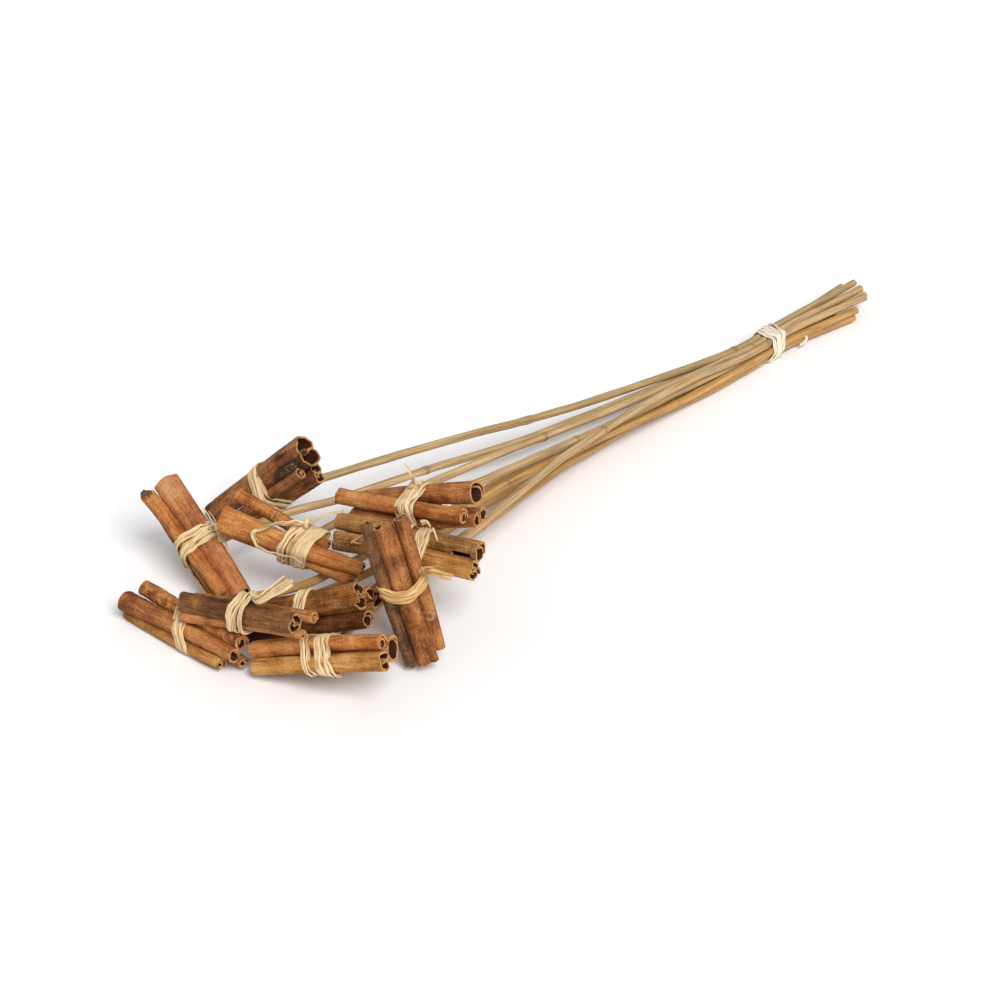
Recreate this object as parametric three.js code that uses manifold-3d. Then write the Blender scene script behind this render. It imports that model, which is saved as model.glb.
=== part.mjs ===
// A tied bunch of ten cinnamon picks. Each pick is a small crosswise bundle of rolled bark
// quills, bound with raffia on the end of a long reed stem. One more raffia band ties all
// the stems together near their free ends. The bunch lies on a flat surface.
//
// Frame: millimetres, +Z up, +X from the quill bundles towards the free stem ends. The origin
// lies on the surface that the bunch rests on, under the middle of its bounding box.

import * as THREE from 'three';
import { mergeVertices } from 'three/addons/utils/BufferGeometryUtils.js';
import Module from 'manifold-3d';

// ---- driving dimensions, mm and degrees ----

const BARK_WALL = 1.2; // thickness of one layer of bark
const ROLL_AIR = 0.45; // air between two turns of bark
const WALL_SHARE = 0.16; // a small roll's bark is this share of its width
const STEM_DIAMETER = 4.5;
const STEM_SIDES = 7;
const STEM_STEPS = 12;
const TOUCH_GAP = 0.35; // air left between pieces that touch
const QUILL_STEPS = 2; // lengthwise divisions of a quill
const SINGLE_TURN_STEP = 36; // degrees between outline points of a single roll
const DOUBLE_TURN_STEP = 42; // degrees between outline points of a double roll
const DOUBLE_CURL = 294; // degrees that each edge of a double roll turns through
const BELT_SIDES = 18;
const BELT_THICKNESS = 1.0;
const TAIL_THICKNESS = 0.8;
const ORIGIN = { x: 54.2, y: -6.5 }; // middle of the bunch's box in the plan below

// Where the stems are tied together: a round band square to the stems.
const STEM_TIE = { at: [233, 8, 0], heading: 5, bottomRow: 4.5, rowRise: 4.25, pitch: 4.9 };
const STEM_BANDS = [
  { along: -0.5, width: 7, skew: -0.25 },
  { along: 4, width: 2.6, skew: -0.05 },
];

const COLOURS = {
  darkBark: 0x7d4a2b,
  redBark: 0x9c5a2f,
  orangeBark: 0xb8733c,
  oliveBark: 0x8a6237,
  paleReed: 0xc9ab7c,
  goldReed: 0xc08e4c,
  raffia: 0xe3c994,
  paleRaffia: 0xefe0c4,
};

// ---- the ten picks ----
// at: centre of the tie; heading and pitch: direction of the quills' +X end.
// slide, side, lift: a quill's centre along, across and above that direction; yaw and tilt: its
// own small turns; face: where its seam looks; taper: growth of its section towards +X.
// tie: the raffia band, its knot and the tails that leave the knot.
// root: the stem's end in the same local axes; way: points that the stem passes through;
// slot: row and place in the stem tie; end: the stem's free end.

const PICKS = {
  A: {
    at: [-111, 61, 31], heading: -69, pitch: 43,
    quills: [
      { form: 'double', width: 13.2, height: 11.2, length: 79, slide: -4, side: 0, lift: 2.2, tilt: -1.8,
        taper: 0.28, face: 261, bark: 'darkBark' },
      { form: 'single', width: 7.2, length: 54, slide: 2, side: -7.8, lift: -6, yaw: -1, tilt: -0.7,
        face: 0, bark: 'darkBark' },
      { form: 'double', width: 10.4, height: 7, length: 58, slide: 1.3, side: 1.4, lift: -10.2,
        tilt: -3.2, face: 261, bark: 'darkBark' },
    ],
    tie: { width: 7, skew: 0.5, along: -2 },
    stem: { root: [-1, 7.4, -8.6], way: [[-64, 50, 24], [0, 38.5, 21.5], [64, 25.5, 18.5], [136, 16.5, 15.5]],
      slot: [2, 1], end: [324, 17, 14.5], reed: 'paleReed' },
  },
  B: {
    at: [-172, 44, 26], heading: -98, pitch: -28,
    quills: [
      { form: 'single', width: 9, length: 73, slide: -3.3, side: -5.8, lift: -0.7, yaw: 0.2, tilt: 4.6,
        taper: -0.1, face: 300, bark: 'orangeBark' },
      { form: 'double', width: 12.6, height: 9.4, length: 75, slide: -1.9, side: 4.2, lift: 1.3, tilt: -2,
        taper: -0.06, face: 214, bark: 'redBark' },
      { form: 'single', width: 5.8, length: 65, slide: -4.9, side: -3.4, lift: -7.8, yaw: -4.5, tilt: 3.4,
        face: 200, bark: 'orangeBark' },
    ],
    tie: { width: 8, skew: -0.2, knot: [5, 9.5, 8], tails: [
      [[5, 9.5, 8], [-4, 9.5, 9], [-13, 9, 11]],
      [[5, 9.5, 8], [-5, 12.5, 7], [-13, 13.5, 5.5]],
      [[5, 9.5, 8], [9.5, 10, 7], [13.5, 9.5, 5]],
    ] },
    stem: { root: [0, 9.7, -3.7], way: [[-116, 41, 22.5], [-86, 34, 21.5], [-25, 28, 18], [34, 19.5, 15],
      [96, 17, 12], [161, 14.5, 9.5]], slot: [1, 3], end: [318, 22, 12], reed: 'paleReed' },
  },
  C: {
    at: [-152, -10, 41], heading: -71, pitch: -6,
    quills: [
      { form: 'double', width: 10.2, height: 7, length: 80, slide: -2.2, side: -0.4, lift: -0.6,
        taper: -0.26, face: 235, bark: 'orangeBark' },
      { form: 'single', width: 8.4, length: 54, slide: -13.4, side: 8.1, lift: 4.2, yaw: -1.9, tilt: -12,
        face: 325, bark: 'orangeBark' },
      { form: 'single', width: 8.4, length: 77, slide: -3.2, side: 0.2, lift: -8.3, yaw: -2, tilt: 0.8,
        face: 325, bark: 'orangeBark' },
    ],
    tie: { width: 13, skew: 0.1, knot: [1.5, 6.5, 9.5], tails: [
      [[1.5, 6.5, 9.5], [9, 9.5, 14], [16.5, 14, 18.5]],
      [[1.5, 6.5, 9.5], [-13.5, -0.5, 7.5], [-20.5, -5, 6], [-22.5, -9, 1.5], [-17, -10, -3], [-10, -9, -5.5]],
    ] },
    stem: { root: [0, 6.2, -3.7], way: [[-122, 0, 34], [-45, 6.5, 26], [23, 7.5, 21.5], [84, 5.5, 18.5],
      [150, 5, 15]], slot: [2, 0], end: [327, 11, 13], reed: 'paleReed' },
  },
  D: {
    at: [-100, -31, 50], heading: -77, pitch: 10,
    quills: [
      { form: 'single', width: 11, length: 79, slide: -0.4, side: 10.4, lift: 0.2, yaw: 1.3, tilt: 8.9,
        taper: 0.28, face: 331, bark: 'redBark' },
      { form: 'single', width: 9.4, length: 77, slide: -0.6, side: -1.1, lift: 0.1, yaw: -0.6, tilt: -1,
        taper: -0.05, face: 331, bark: 'orangeBark' },
      { form: 'double', width: 13, height: 7, length: 73, slide: 3.7, side: 5.1, lift: -7.5, yaw: 6.2,
        tilt: 3, face: 182, bark: 'redBark' },
    ],
    tie: { width: 8, skew: 0.2, knot: [4, 7, 8.5], tails: [
      [[4, 7, 8.5], [2, 10, 11.5], [-2, 13, 13]],
    ] },
    stem: { root: [0, 14.8, -8.3], way: [[-74, -24, 40], [-37, -22, 35], [16, -14.5, 27], [69, -9, 20.3],
      [142, -2, 14.1]], slot: [1, 1], end: [326, 7, 10.5], reed: 'paleReed' },
  },
  E: {
    at: [-114, -58, 47], heading: -71, pitch: 2,
    quills: [
      { form: 'single', width: 11, length: 79, slide: -6.3, side: 0.3, lift: 0.6, taper: 0.07, face: 328,
        bark: 'oliveBark' },
      { form: 'double', width: 9.8, height: 7, length: 77, slide: -5, side: -7.3, lift: -5.2,
        taper: 0.04, face: 238, bark: 'oliveBark' },
      { form: 'single', width: 7, length: 71, slide: -3.5, side: -1.1, lift: -9.4, yaw: -0.9,
        tilt: -1.4, face: 328, bark: 'redBark' },
    ],
    tie: { width: 9, skew: -0.3 },
    stem: { root: [0, 3.9, -6.7], way: [[-78, -43, 37.5], [-30, -29.5, 31], [7, -23, 26], [65, -13, 18],
      [141, -5, 9.5]], slot: [1, 0], end: [305, 0, 8], reed: 'goldReed' },
  },
  F: {
    at: [-145, -79, 37], heading: -90, pitch: -70,
    quills: [
      { form: 'single', width: 7.8, length: 74, slide: -3.4, side: -6.8, lift: -5.1, face: 309,
        bark: 'darkBark' },
      { form: 'double', width: 10.4, height: 8.6, length: 73, slide: -1.8, side: 1.1, lift: 1.2, yaw: 2.2,
        tilt: 1.8, face: 219, bark: 'redBark' },
      { form: 'single', width: 8.6, length: 69, slide: -4, side: 9.2, lift: 2.8, yaw: 1.6, tilt: -0.6,
        face: 309, bark: 'redBark' },
      { form: 'strip', width: 4.4, length: 70, slide: 0.7, side: 0.3, lift: -5.3, yaw: -4.4, tilt: 0.6,
        face: 309, bark: 'darkBark' },
    ],
    tie: { width: 7.5, skew: -0.3, along: -1.5, knot: [-10, 10.5, 7], tails: [
      [[-10, 10.5, 7], [-10, 15, 10], [-6, 20, 13]],
      [[-10, 10.5, 7], [-6.5, 15, 11.5], [-4, 20, 15.5]],
    ] },
    stem: { root: [0, 6.5, -4], way: [[-94, -51.5, 28.5], [-61, -46.5, 29], [-22, -36.5, 28.5],
      [20, -25.5, 27.5], [58, -18.5, 26], [98, -12, 24.5], [150, -3.5, 19.2]], slot: [2, 2],
      end: [317, 3, 12], reed: 'paleReed' },
  },
  G: {
    at: [-214, 10, 9.8], heading: -89, pitch: 1.5,
    quills: [
      { form: 'single', width: 9, length: 78, slide: -1.5, side: 1.7, lift: 0.6, yaw: 2.9, tilt: -0.6,
        taper: -0.06, face: 322, bark: 'redBark' },
      { form: 'single', width: 7, length: 74, slide: 2.5, side: 8.2, lift: 5.6, yaw: -0.4, tilt: -0.5,
        face: 322, bark: 'orangeBark' },
      { form: 'single', width: 6.2, length: 71, slide: -3.9, side: 1, lift: -5.7, face: 322,
        bark: 'orangeBark' },
      { form: 'single', width: 7.2, length: 76, slide: 3, side: 8.3, lift: -5.1, yaw: -1.7, tilt: 0,
        face: 322, bark: 'redBark' },
    ],
    tie: { width: 7, skew: 0.15 },
    stem: { root: [0, 8.8, 0.8], way: [[-180, 5, 7.5], [-150, -9, 7.5], [-96, -14, 7.5], [-46, -6, 7.5],
      [0, 1, 7], [46, 5, 6.5], [110, 9, 5.5]], slot: [0, 0], end: [300, 13.5, 3], reed: 'goldReed' },
  },
  H: {
    at: [-206.5, -29.5, 33.5], heading: -82, pitch: 10,
    quills: [
      { form: 'double', width: 9.6, height: 8.2, length: 74, slide: -0.2, side: 0.3, lift: 0.6, yaw: 0.8,
        tilt: 1.4, face: 240, bark: 'darkBark' },
      { form: 'single', width: 6.8, length: 76, slide: 0.6, side: 0.1, lift: -6.6, yaw: 3.8, tilt: 2.4,
        taper: -0.15, face: 330, bark: 'redBark' },
      { form: 'single', width: 7.3, length: 78, slide: 2.5, side: 8, lift: -0.6, yaw: 1.4, tilt: 2.4,
        face: 330, bark: 'orangeBark' },
    ],
    tie: { width: 9, skew: 0.05, knot: [6, 6.5, 7.5], tails: [
      [[6, 6.5, 7.5], [13, 11, 12.5], [21, 15.5, 17]],
      [[6, 6.5, 7.5], [16, 11, 11.5], [26, 14.5, 15.5]],
    ] },
    stem: { root: [0, 5.4, 5.8], way: [[-175, -27, 31.6], [-150, -19.6, 22.8], [-130, -16.2, 19.8],
      [-106, -13, 18], [-47, -10, 16.5], [-8, -6, 16], [38, -5, 14.5], [110, 0, 11.5]], slot: [1, 2],
      end: [322, 14.5, 8], reed: 'goldReed' },
  },
  I: {
    at: [-172, -35, 25], heading: -68, pitch: 20,
    quills: [
      { form: 'double', width: 12.6, height: 8.6, length: 70, slide: 0.3, side: 0, lift: 0.2, yaw: 0.9,
        tilt: 2.1, taper: 0.08, face: 246, bark: 'darkBark' },
      { form: 'double', width: 13.4, height: 6.8, length: 70, slide: 1.7, side: 8.6, lift: -5.6, yaw: 1.1,
        tilt: 2.5, face: 117, bark: 'redBark' },
      { form: 'single', width: 9.4, length: 70, slide: 2.5, side: -4.4, lift: -9.8, yaw: 0.3, tilt: 0.6,
        face: 336, bark: 'redBark' },
      { form: 'single', width: 7.2, length: 50, slide: 7, side: 1.8, lift: -14.4, face: 336,
        bark: 'darkBark' },
    ],
    tie: { width: 8, skew: 0.1, along: -3 },
    stem: { root: [-3, 8.2, -15.8], way: [[-150, -34.5, 10.5], [-110, -31.5, 12], [-55, -18.5, 13],
      [-15, -12.5, 12], [20, -6, 9.5], [56, 0, 7], [110, 3.7, 5]], slot: [0, 1], end: [308, 6.5, 2.6],
      reed: 'goldReed' },
  },
  J: {
    at: [-190.5, -68.5, 22.4], heading: -73, pitch: 17,
    quills: [
      { form: 'single', width: 9.4, length: 79, slide: -1.8, side: 0.8, lift: 2.4, yaw: 1.3, tilt: 2.7,
        taper: -0.1, face: 335, bark: 'orangeBark' },
      { form: 'double', width: 8.6, height: 7, length: 77, slide: 1.5, side: -4.4, lift: -4.2, yaw: 1,
        tilt: 2.1, taper: 0.08, face: 245, bark: 'orangeBark' },
      { form: 'single', width: 14, height: 8.8, length: 79, slide: -2, side: 7.4, lift: -4.1, yaw: 0.8,
        tilt: 1.7, face: 270, lean: 65, bark: 'orangeBark' },
    ],
    tie: { width: 14, skew: 0.1, along: 0.5 },
    stem: { root: [0, 12.5, -7.5], way: [[-158, -53, 12], [-123, -42, 11], [-83, -34, 10], [-21.5, -21.5, 10],
      [39.5, -9, 8.5], [74, -5, 7.5], [110, -1.5, 6.5], [158, -2, 4.8]], slot: [0, 2], end: [304, 0.5, 3.4],
      reed: 'goldReed' },
  },
};

// ---- helpers ----

const wasm = await Module();
wasm.setup();

const radians = THREE.MathUtils.degToRad;

function toSolid(geometry) {
  const plain = geometry.clone();
  plain.deleteAttribute('normal');
  plain.deleteAttribute('uv');
  const merged = mergeVertices(plain, 1e-4);
  const mesh = new wasm.Mesh({
    numProp: 3,
    vertProperties: new Float32Array(merged.attributes.position.array),
    triVerts: new Uint32Array(merged.index.array),
  });
  return new wasm.Manifold(mesh);
}

function toGeometry(solid) {
  const mesh = solid.getMesh();
  const geometry = new THREE.BufferGeometry();
  geometry.setAttribute('position', new THREE.BufferAttribute(mesh.vertProperties, 3));
  geometry.setIndex(new THREE.BufferAttribute(mesh.triVerts, 1));
  geometry.computeVertexNormals();
  return geometry;
}

function barkMaterial(name) {
  return new THREE.MeshStandardMaterial({ color: COLOURS[name], roughness: 0.85, metalness: 0 });
}

// Turns a centre line into a closed strip outline, half a wall to each side.
function sheetOutline(line, wall) {
  const sideOf = (k, offset) => {
    const before = line[Math.max(k - 1, 0)];
    const after = line[Math.min(k + 1, line.length - 1)];
    const along = after.clone().sub(before).normalize();
    return line[k].clone().add(new THREE.Vector2(along.y, -along.x).multiplyScalar(offset));
  };
  const outer = line.map((_, k) => sideOf(k, wall / 2));
  const inner = line.map((_, k) => sideOf(k, -wall / 2));
  return [...outer, ...inner.reverse()];
}

// ---- bark quills ----

function barkWall(quill) {
  const { width, height = width } = quill;
  return Math.min(BARK_WALL, WALL_SHARE * Math.min(width, height));
}

// A sheet rolled up from one edge: each turn lies one wall and one air gap further in.
function singleRollLine(width, wall, turns) {
  const start = (width - wall) / 2;
  const steps = Math.round((turns * 360) / SINGLE_TURN_STEP);
  return Array.from({ length: steps + 1 }, (_, k) => {
    const turn = (k * SINGLE_TURN_STEP) / 360;
    const reach = start - (wall + ROLL_AIR * (wall / BARK_WALL)) * turn;
    const angle = turn * 2 * Math.PI;
    return new THREE.Vector2(reach * Math.cos(angle), reach * Math.sin(angle));
  });
}

// A sheet whose two long edges roll in towards each other and meet at the seam side.
function doubleRollLine(width, height, wall) {
  const lobe = (height - wall) / 2;
  const centre = width / 2 - height / 2;
  const seamHalf = wall / 2 + ROLL_AIR / 2; // keeps each edge on its own side of the seam
  const seamReach = Math.max(centre - seamHalf, wall / 2 + 0.1);
  const steps = Math.round(DOUBLE_CURL / DOUBLE_TURN_STEP);
  const half = Array.from({ length: steps + 1 }, (_, k) => {
    const share = (k * DOUBLE_TURN_STEP) / 270;
    const reach = lobe + (seamReach - lobe) * share ** 2.2;
    const angle = radians(k * DOUBLE_TURN_STEP - 90);
    const kept = Math.max(reach, wall / 2 + 0.1);
    const across = Math.max(centre + kept * Math.cos(angle), k ? seamHalf : 0);
    return new THREE.Vector2(across, kept * Math.sin(angle));
  });
  const mirrored = half.map((p) => new THREE.Vector2(-p.x, p.y)).reverse();
  return [...mirrored, ...half];
}

// The quill's section with its seam at +Y, then turned so that the seam looks along `face`.
function quillSection(quill) {
  const { form, width, height = width, face = 0, lean = 0 } = quill;
  const wall = barkWall(quill);
  const turns = form === 'strip' ? 0.5 : 1.15;
  const line = form === 'double' ? doubleRollLine(width, height, wall) : singleRollLine(width, wall, turns);
  const stretch = form === 'double' ? 1 : height / width;
  const turned = sheetOutline(line, wall).map((p) => p.rotateAround(new THREE.Vector2(), radians(face)));
  return turned.map((p) => {
    const stretched = new THREE.Vector2(p.x, p.y * stretch);
    return stretched.rotateAround(new THREE.Vector2(), radians(lean));
  });
}

function quillScale(quill, along) {
  return 1 + ((quill.taper ?? 0) * along) / (quill.length / 2);
}

// Extruded along local X, with section axes on local Y and Z.
function quillGeometry(quill) {
  const shape = new THREE.Shape(quillSection(quill));
  const options = { depth: quill.length, steps: QUILL_STEPS, bevelEnabled: false };
  const geometry = new THREE.ExtrudeGeometry(shape, options);
  geometry.translate(0, 0, -quill.length / 2);
  const place = geometry.attributes.position;
  for (let k = 0; k < place.count; k += 1) {
    const along = place.getZ(k);
    const scale = quillScale(quill, along);
    place.setXYZ(k, along, place.getX(k) * scale, place.getY(k) * scale);
  }
  geometry.computeVertexNormals();
  return geometry;
}

function quillMesh(name, quill) {
  const mesh = new THREE.Mesh(quillGeometry(quill), barkMaterial(quill.bark));
  mesh.name = name;
  mesh.position.set(quill.slide, quill.side, quill.lift);
  mesh.rotation.set(0, radians(-(quill.tilt ?? 0)), radians(quill.yaw ?? 0), 'ZYX');
  mesh.updateMatrix();
  return mesh;
}

// Points of a quill's outline where the tie crosses it, in the pick's local axes.
function quillRing(quill, mesh, along) {
  const reach = along - quill.slide;
  const scale = quillScale(quill, reach);
  return quillSection(quill).map((p) =>
    new THREE.Vector3(reach, p.x * scale, p.y * scale).applyMatrix4(mesh.matrix));
}

// ---- belts: taut bands round a set of pieces ----

// A polygon of straight stretches that just clears all the points, seen along the band's axis.
function beltOutline(points, clearance) {
  const step = (2 * Math.PI) / BELT_SIDES;
  const reach = Array.from({ length: BELT_SIDES }, (_, k) => {
    const [c, s] = [Math.cos(k * step), Math.sin(k * step)];
    return Math.max(...points.map((p) => p.x * c + p.y * s)) + clearance;
  });
  return reach.map((here, k) => {
    const next = reach[(k + 1) % BELT_SIDES];
    const angle = (k + 0.5) * step;
    const out = (here + next) / (2 * Math.cos(step / 2));
    const along = (next - here) / (2 * Math.sin(step / 2));
    return new THREE.Vector2(
      out * Math.cos(angle) - along * Math.sin(angle),
      out * Math.sin(angle) + along * Math.cos(angle),
    );
  });
}

// The band is extruded along local X, like the quills; skew slides its top along the quills.
function beltGeometry(points, width, skew) {
  const shape = new THREE.Shape(beltOutline(points, TOUCH_GAP + BELT_THICKNESS));
  shape.holes.push(new THREE.Path(beltOutline(points, TOUCH_GAP)));
  const geometry = new THREE.ExtrudeGeometry(shape, { depth: width, steps: 1, bevelEnabled: false });
  const place = geometry.attributes.position;
  for (let k = 0; k < place.count; k += 1) {
    const [across, up, along] = [place.getX(k), place.getY(k), place.getZ(k)];
    place.setXYZ(k, along - width / 2 + skew * up, across, up);
  }
  return geometry;
}

// ---- stems ----

function stemPath(points) {
  return new THREE.CatmullRomCurve3(points, false, 'centripetal');
}

function roundStem(path, diameter, steps) {
  const rim = Array.from({ length: STEM_SIDES }, (_, k) => {
    const angle = (k / STEM_SIDES) * 2 * Math.PI;
    return new THREE.Vector2((diameter / 2) * Math.cos(angle), (diameter / 2) * Math.sin(angle));
  });
  return new THREE.ExtrudeGeometry(new THREE.Shape(rim), { steps, extrudePath: path });
}

// Rows of three, four and three stems, bottom to top.
const SLOT_ROWS = [[1, 0, -1], [-1.5, -0.5, 0.5, 1.5], [0, 1, -1]];

function slotPoint([row, place], along) {
  const across = SLOT_ROWS[row][place] * STEM_TIE.pitch;
  const turn = radians(STEM_TIE.heading);
  return new THREE.Vector3(
    STEM_TIE.at[0] + along * Math.cos(turn) - across * Math.sin(turn),
    STEM_TIE.at[1] + along * Math.sin(turn) + across * Math.cos(turn),
    STEM_TIE.bottomRow + row * STEM_TIE.rowRise,
  );
}

function stemPoints(pick, frame) {
  const { root, way, slot, end } = pick.stem;
  return [
    new THREE.Vector3(...root).applyMatrix4(frame),
    ...way.map((p) => new THREE.Vector3(...p)),
    slotPoint(slot, -24),
    slotPoint(slot, 14),
    new THREE.Vector3(...end),
  ];
}

// ---- knots and tails of raffia ----

// A flat ribbon along a smooth line through the points.
function ribbon(points, width) {
  const [w, t] = [width / 2, TAIL_THICKNESS / 2];
  const corners = [[-w, -t], [w, -t], [w, t], [-w, t]].map((p) => new THREE.Vector2(...p));
  const path = new THREE.CatmullRomCurve3(points.map((p) => new THREE.Vector3(...p)), false, 'centripetal');
  const steps = 3 * (points.length - 1);
  return new THREE.ExtrudeGeometry(new THREE.Shape(corners), { steps, extrudePath: path });
}

function knotAndTails(tie) {
  const lump = new THREE.IcosahedronGeometry(3, 1).translate(...tie.knot);
  const pieces = tie.tails.map((points) => toSolid(ribbon(points, 2)));
  return pieces.reduce((sum, piece) => sum.add(piece), toSolid(lump));
}

// ---- assembly ----

const bunch = new THREE.Group();
bunch.position.set(-ORIGIN.x, -ORIGIN.y, 0);

function addRaffia(name, solid, colour) {
  const material = new THREE.MeshStandardMaterial({ color: COLOURS[colour], roughness: 0.8, metalness: 0 });
  const mesh = new THREE.Mesh(toGeometry(solid), material);
  mesh.name = name;
  bunch.add(mesh);
}

const stemRooms = [];
for (const [letter, pick] of Object.entries(PICKS)) {
  const head = new THREE.Group();
  head.position.set(...pick.at);
  head.rotation.set(0, radians(-pick.pitch), radians(pick.heading), 'ZYX');
  head.updateMatrix();
  bunch.add(head);

  const { width, skew, along: middle = 0 } = pick.tie;
  const gripped = [];
  const rooms = pick.quills.map((quill, k) => {
    const mesh = quillMesh(`quill_${letter}${k + 1}`, quill);
    head.add(mesh);
    for (const along of [middle - width / 2, middle, middle + width / 2]) {
      gripped.push(...quillRing(quill, mesh, along).map((p) => new THREE.Vector2(p.y, p.z)));
    }
    return toSolid(mesh.geometry.clone().applyMatrix4(mesh.matrix));
  });
  const [, side, lift] = pick.stem.root;
  const halfStem = STEM_DIAMETER / 2;
  for (const [dy, dz] of [[0, halfStem], [0, -halfStem], [halfStem, 0], [-halfStem, 0]]) {
    gripped.push(new THREE.Vector2(side + dy, lift + dz));
  }

  const path = stemPath(stemPoints(pick, head.matrix));
  const reed = new THREE.Mesh(
    roundStem(path, STEM_DIAMETER, STEM_STEPS),
    new THREE.MeshStandardMaterial({ color: COLOURS[pick.stem.reed], roughness: 0.7, metalness: 0 }),
  );
  reed.name = `stem_${letter}`;
  bunch.add(reed);
  stemRooms.push(toSolid(roundStem(path, STEM_DIAMETER + 2 * TOUCH_GAP, STEM_STEPS)));

  let band = toSolid(beltGeometry(gripped, width, skew).translate(middle, 0, 0));
  if (pick.tie.knot) {
    band = band.add(knotAndTails(pick.tie));
  }
  const cut = rooms.reduce((left, room) => left.subtract(room), band).transform(head.matrix.elements);
  const bodies = cut.subtract(stemRooms.at(-1)).decompose();
  const largest = bodies.reduce((best, body) => (body.volume() > best.volume() ? body : best));
  addRaffia(`raffia_tie_${letter}`, largest, 'raffia');
}

// The band round all the stems: two strands that cross underneath.
const tieFrame = new THREE.Matrix4().makeRotationZ(radians(STEM_TIE.heading));
tieFrame.setPosition(...STEM_TIE.at);
const stemRims = Object.values(PICKS).flatMap((pick) => {
  const middle = slotPoint(pick.stem.slot, 0).applyMatrix4(tieFrame.clone().invert());
  return Array.from({ length: 12 }, (_, k) => {
    const angle = (k * Math.PI) / 6;
    const reach = STEM_DIAMETER / 2;
    return new THREE.Vector2(middle.y + reach * Math.cos(angle), middle.z + reach * Math.sin(angle));
  });
});
const strands = STEM_BANDS.map(({ along, width, skew }) =>
  toSolid(beltGeometry(stemRims, width, skew).translate(along, 0, 0)));
const bound = strands.reduce((sum, strand) => sum.add(strand)).transform(tieFrame.elements);
addRaffia('raffia_tie_stems', stemRooms.reduce((left, room) => left.subtract(room), bound), 'paleRaffia');

export default bunch;
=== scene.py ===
"""Dresses a tied bunch of ten cinnamon picks.

Each pick is a crosswise bundle of rolled bark quills, bound with raffia on the end of a reed
stem, and a last band of raffia ties the stems together. Bark and raffia are made as what they
are: thin sheets that are rolled up or wound round. Sizes are in millimetres and degrees, and a
finished mesh is brought to metres as it is put in its place.
"""

import logging
import math
from dataclasses import dataclass, field
from enum import Enum
from typing import Any, Callable, Iterable

import bpy
from mathutils import Matrix, Vector, geometry, noise


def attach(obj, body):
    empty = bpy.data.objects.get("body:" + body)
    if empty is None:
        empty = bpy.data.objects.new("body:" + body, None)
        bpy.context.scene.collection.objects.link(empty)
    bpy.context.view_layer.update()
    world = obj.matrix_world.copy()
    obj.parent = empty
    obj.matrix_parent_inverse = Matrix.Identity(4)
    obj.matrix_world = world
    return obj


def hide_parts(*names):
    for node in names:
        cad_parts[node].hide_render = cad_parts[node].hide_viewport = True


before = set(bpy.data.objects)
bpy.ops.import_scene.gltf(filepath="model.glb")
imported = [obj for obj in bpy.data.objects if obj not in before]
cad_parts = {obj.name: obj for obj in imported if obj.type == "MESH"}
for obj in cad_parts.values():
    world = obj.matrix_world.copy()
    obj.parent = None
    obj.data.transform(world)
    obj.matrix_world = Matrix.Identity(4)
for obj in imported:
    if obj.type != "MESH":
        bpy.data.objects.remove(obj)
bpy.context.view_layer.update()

LOG = logging.getLogger("cinnamon")

Tree = bpy.types.NodeTree
Piece = bpy.types.Object
Point = tuple[float, float, float]
Place = Callable[[float, float], Vector]

MM = 0.001
ORIGIN = Vector((54.2, -6.5, 0.0))  # middle of the bunch's box, in the plan of the places below

# The side that the bunch is mostly seen from.
VIEW_AZIMUTH = -45.0
VIEW_ELEVATION = 30.0
VIEW_DISTANCE = 1450.0
VIEW_LENS = 97.0
SENSOR_WIDTH = 36.0
CLIP_END = 100.0  # metres

SHEET_STEP = 0.95  # spacing of the points of a sheet of bark
BARK_WALL = 1.2
WALL_SHARE = 0.16  # the thickest wall, as a share of the quill's width
ROLL_AIR = 0.45  # left between the layers of a roll
FULLNESS = 1.05  # dried bark springs open and fills its bundle
CURL_STEP = 4.0  # degrees between points of a rolled section
TIGHTEST_CURL = 0.6  # the smallest radius of a roll, in walls
SEAM_SWING = 270.0  # degrees that each edge of a double roll turns up to the seam
INWARD_SWING = 180.0  # and further, into its own roll
END_ZONE = 7.0  # how far from its end a quill is ragged
DARKENED_END = 2.5  # how far from its end a quill is darker

STEM_DIAMETER = 4.5
STEM_STEP = 3.0
STEM_SIDES = 18
STEM_RIM_STEPS = 12  # points of a stem's outline in its bundle
TIED_RIM_STEPS = 16  # and in the band round all stems
PITH_WALL, PITH_LIP, PITH_DEPTH = 0.55, 0.2, 0.5  # of the sunk pith at a stem's end

RAFFIA_THICKNESS = 0.32
RAFFIA_STEP = 1.1
RAFFIA_GAP = 0.25  # between a winding and what it holds
LAYER_PITCH = 1.25  # from one layer of raffia to the next, in thicknesses
RIM_STEPS = 240
KNOT_STEPS = 24
KNOT_LOOPS = ((15, 2.3, 2.8), (75, 2.0, 2.4), (130, 1.6, 2.2))  # lean, radius and width of each
KNOT_GIRTH = 6.3  # length of a knot's loop, in its radii
TAIL_COLUMNS = 5
DRIFT_SHIFTS = (0.0, 17.3, 31.7)  # keep the three axes of a drift unlike one another

WELD = 0.0005  # points closer than this are one
UV_SHIFT = (0.37, 0.11)  # metres that a seed of 1 moves a piece's UV map
CORNER = 50.0  # degrees past which an edge of bark or reed stays sharp
RAFFIA_CORNER = 60.0

# What keeps the pieces of a pick unlike one another.
QUILL_SEED, WRAP_SEED, TAIL_SEED = 0.53, 0.61, 1.3
BAND_SEED = 8.3


def view_direction() -> Vector:
    """Works out how the bunch is seen.

    Returns:
        The unit direction from the viewer to the bunch.
    """
    azimuth, elevation = math.radians(VIEW_AZIMUTH), math.radians(VIEW_ELEVATION)
    level = Vector((-math.sin(azimuth), math.cos(azimuth), 0.0))
    return level * math.cos(elevation) - Vector((0, 0, math.sin(elevation)))


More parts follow.
